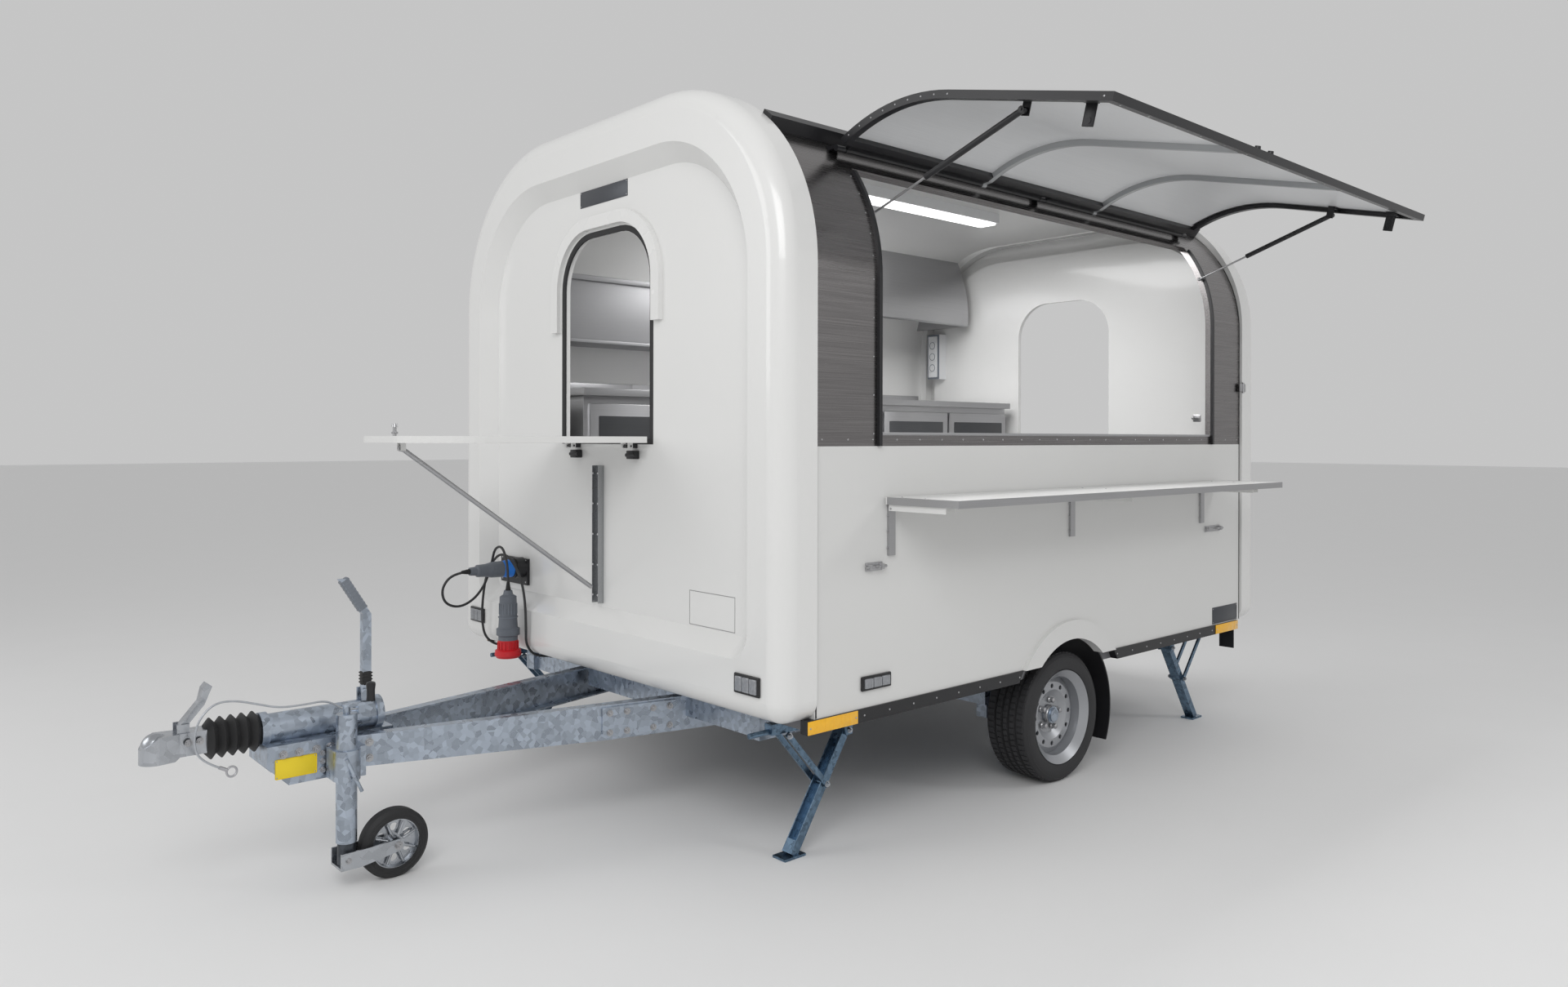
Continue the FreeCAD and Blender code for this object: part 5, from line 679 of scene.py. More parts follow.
# Nodes that aren't listed get blue zinc: those of the steadies, and those that a
# piece replaces later.
CAD_FINISHES = {
    "gelcoat": ("front_shell", "rear_shell", "rear_door"),
    "side paint": ("arch_lips", "roof_panel", "side_panels"),
    "cabin lining": ("cabin_fittings",),
    "floor covering": ("floor_panel",),
    "laminate": ("counter_shelf", "front_flap"),
    "front fittings": ("front_fittings",),
    "hatch lining": ("serving_hatch",),
    "hatch profile": ("hatch_frame",),
    "black profile": ("corner_plates", "gutter_rail", "hatch_hinge", "power_inlet",
                      "sill_strips", "strut_tube_front", "strut_tube_rear", "wheel_boxes"),
    "rubber": ("bellows", "jockey_wheel"),
    "plug plastic": ("power_plugs",),
    "rim paint": ("rim_left", "rim_right"),
    "brushed steel": ("steel_surround",),
    "bright steel": ("door_hinge", "flap_bar", "hood", "kitchen_unit", "strut_rod_front",
                     "strut_rod_rear", "wall_fittings"),
    "zinc": ("axle", "chassis_frame", "drawbar_rails", "handbrake_lever",
             "jockey_outer_tube", "overrun_housing"),
    "bright zinc": ("coupling_handle", "coupling_head", "jockey_fork", "jockey_rim"),
    "dark zinc": ("jockey_inner_tube",),
}


class TRAILER_OT_dress_frame(TrailerOperator):
    """Give every carried-over solid its finish"""

    bl_idname = "trailer.dress_frame"
    bl_label = "Dress Frame"

    def execute(self, context):
        finish_of = {node: name for name, nodes in CAD_FINISHES.items() for node in nodes}
        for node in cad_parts:
            dress_cad(node, finish_of.get(node, "blue zinc"))
        return {"FINISHED"}


# Cords


ADAPTER_ROUTE = [
    (330, -600, 811), (398, -600, 811), (442, -612, 756), (420, -634, 690), (350, -650, 664),
    (276, -662, 692), (225, -668, 754), (201, -668, 828), (199, -646, 892), (199, -584, 906),
    (204, -536, 856), (208, -515, 798), (208, -515, 735),
]
LOOP_ROUTE = [
    (10, -790, 458), (95, -790, 458), (168, -790, 502), (182, -792, 585), (180, -786, 680),
    (178, -762, 768), (178, -705, 832), (180, -640, 868), (180, -570, 866), (178, -510, 828),
    (172, -468, 768), (168, -450, 685), (166, -448, 590), (162, -455, 515), (98, -475, 458),
    (10, -475, 458),
]
BREAKAWAY_ROUTE = [
    (1020, 60, 506), (1060, 60, 506), (1110, 60, 547), (1180, 58, 543), (1250, 56, 545),
    (1310, 54, 566), (1370, 56, 586), (1425, 62, 588), (1466, 68, 550), (1480, 70, 492),
    (1466, 70, 434), (1412, 66, 404),
]


def draw_cord(name, route, diameter, finish):
    """A smooth round curve with the route's points as its control points."""
    curve = bpy.data.curves.new(name, "CURVE")
    curve.dimensions = "3D"
    curve.bevel_depth = diameter / 2
    curve.bevel_resolution = 4
    curve.use_fill_caps = True
    spline = curve.splines.new("NURBS")
    spline.points.add(len(route) - 1)
    for point, spot in zip(spline.points, route):
        point.co = (*at(*spot), 1.0)
    spline.order_u = 3
    spline.use_endpoint_u = True
    spline.resolution_u = 12
    cord = new_object(name, curve)
    curve.materials.append(MATERIALS[finish])
    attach(cord, "trailer")
    return cord


def add_ribs(bm, centre, reach, way, count, long, radii):
    """Straight ribs round a grip, long in millimetres along its axis."""
    for spot in ring_points(centre, reach, way, count):
        add_rod(bm, spot, spot + Vector(way) * long / 1000, radii[0], 8, radii[1])


def add_relief(bm, start, way, radius, long=34.0, ribs=5):
    """A tapered, ribbed strain relief round a cord."""
    line = [(0, radius * 0.9), (0, radius * 2.1)]
    pitch = (long - 3) / ribs
    for rib in range(ribs):
        share = 2.1 - 0.9 * rib / ribs
        first = 3 + pitch * rib
        line += [(first, radius * share), (first + pitch * 0.55, radius * share),
                 (first + pitch * 0.65, radius * (share - 0.3)),
                 (first + pitch * 0.95, radius * (share - 0.3))]
    line += [(long, radius * 1.15), (long, radius * 0.9), line[0]]
    add_spin(bm, line, start, way, 24)


class TRAILER_OT_cords(TrailerOperator):
    """Lay the power leads with their plugs, and the breakaway cable"""

    bl_idname = "trailer.cords"
    bl_label = "Cords"

    def execute(self, context):
        plugs = dress_cad("power_plugs", "plug plastic")
        self.make_ribs()
        adapter = draw_cord("adapter_lead", ADAPTER_ROUTE, 0.010, "cable sheath")
        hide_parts("cord_adapter")
        bm = bmesh.new()
        add_relief(bm, at(*ADAPTER_ROUTE[0]), (1, 0, 0), 5)
        add_relief(bm, at(*ADAPTER_ROUTE[-1]), (0, 0, 1), 5)
        reliefs = finish_piece("adapter_reliefs", bm, "rubber")
        supply = draw_cord("supply_lead", LOOP_ROUTE, 0.010, "cable sheath")
        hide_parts("cord_loop")
        bm = bmesh.new()
        for spot in (LOOP_ROUTE[0], LOOP_ROUTE[-1]):
            add_relief(bm, at(*spot), (1, 0, 0), 5)
            add_bar(bm, (0, 5), *spot[1:], 13, 6)
        finish_piece("supply_glands", bm, "rubber")
        cable = draw_cord("breakaway_line", BREAKAWAY_ROUTE, 0.006, "wire sheath")
        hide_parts("breakaway_cable")
        return {"FINISHED"}

    def make_ribs(self):
        """Grip ribs round the plug, the coupler and the coupler's collar."""
        up = (0, 0, 1)
        bm = bmesh.new()
        add_ribs(bm, at(180, *PLUG), 29.5, (1, 0, 0), 14, 56, (2.2, 1.8))
        add_ribs(bm, at(*COUPLER, 684), 34.5, up, 18, -42, (1.8, 2.2))
        add_spin(bm, [(-2, 36), (-2, 38.5), (2, 38.5), (2, 36), (-2, 36)], at(*COUPLER, 630),
                 up, 48)
        finish_piece("plug_ribs", bm, "grey plastic")
        bm = bmesh.new()
        add_ribs(bm, at(*COUPLER, 534), 39.5, up, 16, -30, (2.2, 2.8))
        add_spin(bm, [(0, 38), (0, 40), (5, 40), (5, 38), (0, 38)], at(*COUPLER, 531), up, 48)
        finish_piece("coupler_collar_ribs", bm, "red plastic")


# Running gear


class TRAILER_OT_wheels(TrailerOperator):
    """Tyres with their tread, wheel nuts, hub caps and valves"""

    bl_idname = "trailer.wheels"
    bl_label = "Wheels"

    def execute(self, context):
        for name, side in SIDES:
            hub = at(WHEEL_X, WHEEL_Y * side, WHEEL_Z)
            way = (0, side, 0)
            self.make_tyre(name, hub, way)
            self.make_trim(name, hub, Vector(way))
        return {"FINISHED"}

    def make_tyre(self, name, hub, way):
        bm = bmesh.new()
        half = [(72, 166), (77, 168), (80, 176), (88, 184), (90, 186), (92, 186), (93, 190),
                (95, 198), (95.6, 214), (95, 226), (93, 231), (94, 232), (93.6, 235), (91, 237),
                (88, 242), (83, 246), (80, 247.4)]
        crown = [(50, 247.4), (48.5, 242), (43.5, 242), (42, 247.4), (18, 247.4), (16.5, 242),
                 (11.5, 242), (10, 247.4)]
        outline = half + crown
        line = outline + [(-along, radius) for along, radius in reversed(outline)]
        add_spin(bm, line + [line[0]], hub, way, 96)
        blocks = bmesh.new()
        axle = Vector(way)
        for along, wide, long in ((66, 27, 18), (-66, 27, 18), (30, 21, 19.5), (-30, 21, 19.5),
                                  (0, 17, 19.5)):
            skew = 0.0 if abs(along) > 60 else 0.12 * (1 if along >= 0 else -1)
            lift = 248.0 if abs(along) > 60 else 248.8
            shift = 0.5 if abs(along) == 30 else 0.0
            turn = Matrix.Rotation(math.tau / TREAD_BLOCKS * shift, 3, axle)
            spot = hub + turn @ Vector((0, 0, lift / 1000)) + axle * along / 1000
            add_block(blocks, spot, (long, wide, 6.2), 1.0, turn @ Matrix.Rotation(skew, 3, "Z"),
                      segments=1)
        bmesh.ops.spin(blocks, geom=blocks.verts[:] + blocks.edges[:] + blocks.faces[:],
                       cent=hub, axis=axle, steps=TREAD_BLOCKS - 1, use_duplicate=True,
                       angle=math.tau * (TREAD_BLOCKS - 1) / TREAD_BLOCKS)
        tread = new_mesh("tread", blocks)
        bm.from_mesh(tread)
        bpy.data.meshes.remove(tread)
        piece = finish_piece(f"road_tyre_{name}", bm, "tyre rubber", f"wheel_{name}")
        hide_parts(f"tyre_{name}")

    def make_trim(self, name, hub, way):
        bm = bmesh.new()
        face = hub + way * 0.0272
        for spot in ring_points(face, 56, way, 5, 0.3):
            add_rod(bm, spot, spot + way * 0.004, 13.5, 20, 11)
            add_rod(bm, spot + way * 0.004, spot + way * 0.017, 10.6, 6)
            add_dome(bm, spot + way * 0.017, way, 9, 3.5)
        add_spin(bm, [(0, 30), (0, 36.5), (9, 36), (14, 34.4), (16, 32.6)], hub + way * 0.027,
                 way, 40)
        valve = hub + way * 0.03 + Vector((0.1, 0, 0.1))
        add_rod(bm, valve, valve + way * 0.02, 5.5, 12, 4.2, index=1)
        add_rod(bm, valve + way * 0.02, valve + way * 0.031, 4.2, 12, index=1)
        finish_piece(f"wheel_trim_{name}", bm, ("bright steel", "rubber"), f"wheel_{name}")


class TRAILER_OT_drawbar(TrailerOperator):
    """Joint plates, bolts and grips of the drawbar, coupling and jockey wheel"""

    bl_idname = "trailer.drawbar"
    bl_label = "Drawbar"

    def execute(self, context):
        self.make_bolts()
        self.make_plates()
        self.make_grips()
        self.make_steady_bolts()
        return {"FINISHED"}

    def rail_face(self, x, side, out=0.0):
        """Breadth of a rail's outer face at a place along the drawbar."""
        return side * (84 + RAIL_SLOPE * (1080 - x) + out)

    def jockey_hub(self, out=0.0):
        """The jockey wheel's middle, or a place beside it."""
        return at(JOCKEY_HUB[0], JOCKEY_Y + out, JOCKEY_HUB[1])

    def make_bolts(self):
        bm = bmesh.new()
        for side in (1, -1):
            way = (RAIL_SLOPE, side, 0)
            for x, z in itertools.product((36, 96, 190, 250), (338, 404)):
                add_bolt(bm, at(x, self.rail_face(x, side, 8), z), way, 10)
            for x, z in itertools.product((1000, 1052), (360, 408)):
                add_bolt(bm, at(x, self.rail_face(x, side), z), way, 11)
            for x in (1110, 1150, 1200, 1245):
                add_bolt(bm, at(x, side * 84, 412), (0, side, 0), 11)
            for z in (346, 372, 396):
                add_bolt(bm, at(1132, side * 84, z), (0, side, 0), 8)
            for x in (1455, 1484):
                add_bolt(bm, at(x, side * 40.5, 482), (0, side, 0), 9)
        finish_piece("drawbar_bolts", bm, "bright steel")

    def make_plates(self):
        bm = bmesh.new()
        for side in (1, -1):
            spots = [at(x, self.rail_face(x, side), z) for x, z in
                     ((12, 424), (274, 424), (274, 334), (250, 318), (36, 318), (12, 330))]
            add_plate(bm, spots, (RAIL_SLOPE, side, 0), 7)
        finish_piece("drawbar_joint_plates", bm, "zinc")
        bm = bmesh.new()
        add_box(bm, (1150, 1268), (84, 85.5), (342, 400), 3)
        add_heads(bm, grid((1155, 1263), 85.5, (347, 395)), (0, 1, 0), 2.2, 1.4, 1)
        finish_piece("coupling_blank_plate", bm, ("yellow plate", "bright steel"))

    def make_grips(self):
        bm = bmesh.new()
        foot = at(972 + 0.12 * 72, 0, 786 + 0.12 * 115)
        tip = at(1044, 0, 901)
        way = (tip - foot).normalized()
        turn = way.to_track_quat("Z", "Y").to_matrix()
        long = (tip - foot).length
        for step in range(9):
            spot = foot + way * long * (step + 0.5) / 9
            add_block(bm, spot, (28, 31, long * 1000 / 9 - 2.4), 5, turn)
        add_block(bm, (foot + tip) / 2, (26.8, 29, long * 1000 - 4), 5, turn)
        finish_piece("handbrake_grip", bm, "grey plastic", "handbrake")
        bm = bmesh.new()
        add_block(bm, at(972, 0, 585), (30, 30, 46), 6)
        for step in range(4):
            add_block(bm, at(972, 0, 571 + step * 10), (33, 33, 5), 2)
        finish_piece("handbrake_boot", bm, "rubber", "handbrake")
        bm = bmesh.new()
        add_spin(bm, [(0, 0), (0, 12.5), (4, 13), (14, 12), (34, 12), (50, 14), (56, 12.5),
                      (58, 8), (58, 0)], at(1016, JOCKEY_Y, 546), (0, 0, 1), 28)
        finish_piece("jockey_crank_knob", bm, "black profile")
        bm = bmesh.new()
        for side in (1, -1):
            add_bolt(bm, self.jockey_hub(side * 41.5), (0, side, 0), 11)
            add_bolt(bm, at(1096, JOCKEY_Y + side * 41.5, 95), (0, side, 0), 8)
        finish_piece("jockey_fork_bolts", bm, "bright steel", "jockey_fork")
        bm = bmesh.new()
        for side in (1, -1):
            line = [(side * 25.4, 79), (side * 25.4, 82), (side * 26.6, 83), (side * 26.6, 86),
                    (side * 25.4, 87), (side * 25.4, 92), (side * 23, 95), (side * 20, 92)]
            add_spin(bm, line, self.jockey_hub(), (0, 1, 0), 64)
        finish_piece("jockey_tyre_ribs", bm, "rubber", "jockey_wheel")
        bm = bmesh.new()
        for side, turn in itertools.product((1, -1), range(8)):
            angle = math.radians(turn * 45 + 22.5)
            way = Vector((math.cos(angle), 0, math.sin(angle)))
            hub = self.jockey_hub(side * 13)
            add_rod(bm, hub + way * 0.026, hub + way * 0.066, 5, 12, 3.4)
        finish_piece("jockey_rim_ribs", bm, "bright zinc", "jockey_wheel")

    def make_steady_bolts(self):
        heads = bmesh.new()
        ends = (("front", lambda x: x), ("rear", lambda x: STEADY_FOLD - x))
        for (wing, side), (end, place) in itertools.product(SIDES, ends):
            bm = bmesh.new()
            for out in (1, -1):
                middle, way = side * STEADY_Y, (0, out, 0)
                add_bolt(bm, at(place(-195), middle + out * 34, 212), way, 9)
                for x, z, reach in ((-300, 370, 33), (-30, 398, 34)):
                    add_bolt(heads, at(place(x), middle + out * reach, z), way, 9)
            body = f"steady_{end}_{wing}"
            finish_piece(f"{body}_bolts", bm, "bright zinc", body)
        finish_piece("steady_guide_bolts", heads, "bright zinc")


# Cabin


class TRAILER_OT_lamps(TrailerOperator):
    """Reflectors on the sills, clear marker lamps and the rear lamps"""

    bl_idname = "trailer.lamps"
    bl_label = "Lamps"

    def execute(self, context):
        bm = bmesh.new()
        for side in (1, -1):
            for rear, front in ((-182, 34), (-2767, -2551)):
                add_box(bm, (rear, front), (side * SILL_FACE, side * (SILL_FACE + 4)),
                        (441, 482), 1.5)
                for step in range(1, 6):
                    x = rear + (front - rear) * step / 6
                    add_box(bm, (x - 0.8, x + 0.8), (side * 1037.5, side * 1038.4), (443, 480),
                            index=1)
                add_heads(bm, grid((rear + 9, front - 9), side * (SILL_FACE + 4), SILL_ROW),
                          (0, side, 0), 3.2, 1.8, 2)
        piece = finish_piece("sill_reflectors", bm, ("amber lens", "amber lens", "bright steel"))
        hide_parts("lamps")
        bm = bmesh.new()
        for side in (1, -1):
            self.add_lamp(bm, at(-269.5, side * SIDE, 560.5), (0, side, 0), 137, 47, 16, (1, 1, 1))
            self.add_lamp(bm, at(RING_X, side * 890, 588), (1, 0, 0), 120, 62, 14, (1, 1, 1))
            self.add_lamp(bm, at(REAR_RING_X, side * 890, 588), (-1, 0, 0), 120, 62, 14,
                          (2, 3, 2))
        piece = finish_piece("marker_lamps", bm,
                             ("black profile", "clear lens", "red lens", "amber lens"))
        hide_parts("lamps")
        return {"FINISHED"}

    def add_lamp(self, bm, spot, way, long, high, proud, cells):
        """A dark housing with a row of three lenses."""
        way = Vector(way)
        turn = way.to_track_quat("Z", "Y").to_matrix()
        add_block(bm, spot + way * proud * 0.0003, (long, high, proud * 0.6), 4, turn)
        wide = (long - 18) / len(cells)
        for place, index in enumerate(cells):
            along = (place - 1) * wide
            centre = spot + way * proud * 0.0006 + turn @ Vector((along / 1000, 0, 0))
            add_block(bm, centre, (wide - 3, high - 16, proud * 0.7), 3, turn, index)
            for ridge in (-1, 0, 1):
                shift = turn @ Vector((ridge * (wide - 3) / 4000, 0, 0))
                add_block(bm, centre + shift + way * proud * 0.00036,
                          (1.2, high - 22, 0.8), 0, turn, index)
        for end in (-1, 1):
            add_dome(bm, spot + way * proud * 0.0006
                     + turn @ Vector((end * (long / 2 - 5) / 1000, 0, 0)), way, 2.6, 1.4)


class TRAILER_OT_front(TrailerOperator):
    """Window seal, joint lines, bare plate, screws and flap fittings"""

    bl_idname = "trailer.front"
    bl_label = "Front"

    def execute(self, context):
        self.make_seals()
        self.make_lines()
        self.make_fittings()
        return {"FINISHED"}

    def make_seals(self):
        bm = bmesh.new()
        for x, reach, low, section in ((PANEL_X, 8, 7, flat_bar(16, 1.4, 0.4)),
                                       (PANEL_X - 6, -2, -2, flat_bar(5, 7))):
            line = arch_line(WINDOW_HALF + reach, WINDOW_RADIUS + reach, WINDOW_TOP + reach,
                             WINDOW_LOW - low)
            add_outline(bm, x, line, section)
        finish_piece("window_seal", bm, "rubber")

    def make_lines(self):
        bm = bmesh.new()
        for x, way in ((PANEL_X, 1), (REAR_PANEL_X, -1)):
            line = arch_line(RECESS_HALF - RECESS_EDGE, RECESS_RADIUS - RECESS_EDGE,
                             RECESS_TOP - RECESS_EDGE, RECESS_LOW + RECESS_EDGE, 120)
            add_outline(bm, x, line, flat_bar(3, 0.4), way)
        add_outline(bm, PANEL_X, [(517, 721), (754, 721), (754, 833), (517, 833)],
                    flat_bar(2.5, 0.4))
        finish_piece("shell_joint_lines", bm, "joint shadow")
        bm = bmesh.new()
        add_box(bm, (PANEL_X, PANEL_X + 2), (-173, 145), (2213, 2274), 1)
        add_heads(bm, grid(PANEL_X + 2, (-167, 139), (2219, 2268)), (1, 0, 0), 2.4, 1.5, 1)
        finish_piece("front_blank_plate", bm, ("dark plate", "bright steel"))

    def make_fittings(self):
        bm = bmesh.new()
        spots = grid(112, (-46, -14), even_spots(760, 1210, 112))
        add_heads(bm, spots + grid(100, (-766, -572), (752, 840)), (1, 0, 0), 4, 2)
        finish_piece("front_screws", bm, "bright steel")
        bm = bmesh.new()
        for y in (-180, 200):
            add_box(bm, (PANEL_X, 116), (y - 22, y + 22), (1266, 1296), 3)
            add_bar(bm, 110, (y - 28, y + 28), 1280, 7, 18)
        finish_piece("flap_hinge_blocks", bm, "black profile")
        bm = bmesh.new()
        line = arch_line(FLAP_HALF, FLAP_RADIUS, FLAP_END, 150)
        add_strip(bm, [at(x, y, 1325) for y, x in [line[-1], *line[:-1]]], flat_bar(2, 20),
                  out=(0, 0, 1))
        x, y = FLAP_KNOB
        add_bar(bm, x, y, (1346, 1374), 6, index=1)
        add_bar(bm, x, y, (1374, 1386), 10, 20, 8, 1)
        add_bar(bm, x, (y - 18, y + 18), 1356, 4, 12, index=1)
        finish_piece("flap_trim", bm, ("laminate", "bright steel"), "flap")


class TRAILER_OT_side(TrailerOperator):
    """Rivets, latches, blank plate and trim of the cabin's sides and shelf"""

    bl_idname = "trailer.side"
    bl_label = "Sides"

    def execute(self, context):
        self.make_rivets()
        self.make_trim()
        self.make_latches()
        self.make_shelf()
        return {"FINISHED"}

    def make_rivets(self):
        bm = bmesh.new()
        for side in (1, -1):
            spots = [*even_spots(-1040, -215, 118), *even_spots(-2520, -1710, 118)]
            add_heads(bm, grid(spots, side * SILL_FACE, SILL_ROW), (0, side, 0), 3.4, 1.8)
        add_heads(bm, grid(even_spots(-2770, -30, 116), SIDE, 1337), (0, 1, 0), 3.4, 1.8)
        for x in (-262, -2538):
            for angle in even_spots(-28, 34, 7):
                y, z = on_curve(angle) if angle > 0 else (SIDE, ARC_BASE + angle * 18)
                turn = math.radians(max(0, angle))
                add_dome(bm, at(x, y, z), (0, math.cos(turn), math.sin(turn)), 3.2, 1.7)
        finish_piece("cabin_rivets", bm, "bright steel")

    def make_trim(self):
        bm = bmesh.new()
        for side, top in ((1, 34), (-1, 60)):
            for x in (-6, -2794):
                line = [(SIDE, SILL_TOP + 2)] + [on_curve(top * step / 12) for step in range(13)]
                spots = [at(x, side * y, z) for y, z in line]
                add_strip(bm, spots, flat_bar(5, 1.2), across=(side, 0, 0))
        finish_piece("panel_joint_beads", bm, "rubber")
        bm = bmesh.new()
        add_box(bm, (-2773, -2531), (SIDE, SIDE + 2), (487, 563), 1)
        add_heads(bm, grid((-2766, -2538), SIDE + 2, (494, 556)), (0, 1, 0), 2.6, 1.4, 1)
        finish_piece("side_blank_plate", bm, ("dark plate", "bright steel"))
        bm = bmesh.new()
        add_strip(bm, grid((-300, -2500), SIDE, 1356), flat_bar(9, 3, 1), out=(0, 1, 0))
        finish_piece("opening_sill_trim", bm, "bright steel")

    def make_latches(self):
        bm = bmesh.new()
        for rear, front in ((-309, -214), (-2607, -2450)):
            middle = (rear + front) / 2
            add_box(bm, (rear + 8, front - 8), (SIDE, SIDE + 3), (916, 944), 1.5)
            add_bar(bm, (rear, front), *LATCH_BAR, 5)
            for x in (rear + 20, front - 20):
                add_box(bm, (x - 7, x + 7), (SIDE + 2, SIDE + 19), (921, 939), 2.5)
            add_bar(bm, middle, (LATCH_BAR[0], SIDE + 28), LATCH_BAR[1], 5, 14)
            add_heads(bm, grid((rear + 12, front - 12), SIDE + 3, 920), (0, 1, 0), 2.2, 1.2)
        finish_piece("shelf_latches", bm, "bright steel")

    def make_shelf(self):
        bm = bmesh.new()
        edge = [(-310, 1042), (-310, 1334), (-2560, 1334), (-2560, 1042)]
        add_strip(bm, [at(*spot, 1127) for spot in edge], flat_bar(1.6, 24.4), out=(0, 0, 1))
        add_heads(bm, grid(BRACKETS, (1080, 1180), 1151.2), (0, 0, 1), 4, 1.6)
        finish_piece("shelf_trim", bm, "bright steel", "shelf")
        bm = bmesh.new()
        for x in BRACKETS:
            add_heads(bm, grid((x - 17, x + 17), SIDE + 4, (985, 1040, 1090)), (0, 1, 0),
                      3.4, 1.8)
        finish_piece("shelf_bracket_screws", bm, "bright steel")


class TRAILER_OT_hatch(TrailerOperator):
    """Edge strips, rivets, lugs and locks of the serving hatch"""

    bl_idname = "trailer.hatch"
    bl_label = "Serving Hatch"

    def execute(self, context):
        self.make_edges()
        self.make_rivets()
        self.make_lugs()
        return {"FINISHED"}

    def curve_spots(self, x, angle, out, steps=16):
        """Spots up the closed hatch's curve, moved to where it stands open."""
        line = [(SIDE + out, HATCH_LOW + HATCH_BAR), (SIDE + out, (HATCH_LOW + ARC_BASE) / 2)]
        line += [on_curve(angle * step / steps, out) for step in range(steps + 1)]
        return [lifted(x, y, z) for y, z in line]

    def make_edges(self):
        bm = bmesh.new()
        reach = HATCH_OUTER - 5
        strip = flat_bar(16, 1.5)
        for x in (HATCH_FRONT - HATCH_BAR - 9, HATCH_REAR + HATCH_BAR + 9):
            add_strip(bm, self.curve_spots(x, 37.5, reach), strip, across=(-1, 0, 0))
        add_strip(bm, [lifted(x, SIDE + reach - 1.5, HATCH_LOW + 38)
                       for x in (HATCH_FRONT - 30, HATCH_REAR + 30)],
                  strip, out=lifted(0, 1, 0) - lifted(0, 0, 0))
        finish_piece("hatch_lining_strips", bm, "bright steel", "hatch")
        bm = bmesh.new()
        for x in (HATCH_FRONT - 14, HATCH_REAR + 14):
            add_strip(bm, self.curve_spots(x, 40, HATCH_INNER + 1), flat_bar(11, 7, 2),
                      across=(1, 0, 0))
        finish_piece("hatch_edge_seal", bm, "rubber", "hatch")

    def make_rivets(self):
        bm = bmesh.new()
        inward = lifted(0, -1, 0) - lifted(0, 0, 0)
        for x in even_spots(HATCH_REAR + 60, HATCH_FRONT - 60, 150):
            for out in (HATCH_INNER, HATCH_OUTER):
                add_dome(bm, lifted(x, SIDE + out, HATCH_LOW + 14), inward, 3.6, 1.8)
        for x, way in ((HATCH_FRONT, 1), (HATCH_REAR, -1)):
            line = self.curve_spots(x, 38, (HATCH_INNER + HATCH_OUTER) / 2)
            add_heads(bm, line[::2], (way, 0, 0), 3.2, 1.6)
        finish_piece("hatch_rivets", bm, "bright steel", "hatch")

    def make_lugs(self):
        bm = bmesh.new()
        for edge, way in ((HATCH_FRONT - HATCH_BAR, -1), (HATCH_REAR + HATCH_BAR, 1)):
            add_box(bm, (edge, edge + way * 37), (SIDE + 16, SIDE + 31),
                    (HATCH_LOW + 80, HATCH_LOW + 125), 1.5, spot=lifted)
            add_box(bm, (edge + way * 31, edge + way * 36), (SIDE - 46, SIDE + 20),
                    (HATCH_LOW + 84, HATCH_LOW + 121), 2, spot=lifted)
            ends = [lifted(edge + way * reach, SIDE - 30, HATCH_LOW + 102) for reach in (29, 38)]
            add_rod(bm, *ends, 9, 18)
        face = SIDE + HATCH_OUTER
        for x in (-1140, -1232):
            add_box(bm, (x - 16, x + 16), (face, face + 3), (HATCH_LOW + 22, HATCH_LOW + 56), 1.2,
                    spot=lifted)
            ends = [lifted(x, face + reach, HATCH_LOW + 38) for reach in (3, 18)]
            add_rod(bm, *ends, 11, 24, 9)
        finish_piece("hatch_lugs_and_locks", bm, "black profile", "hatch")


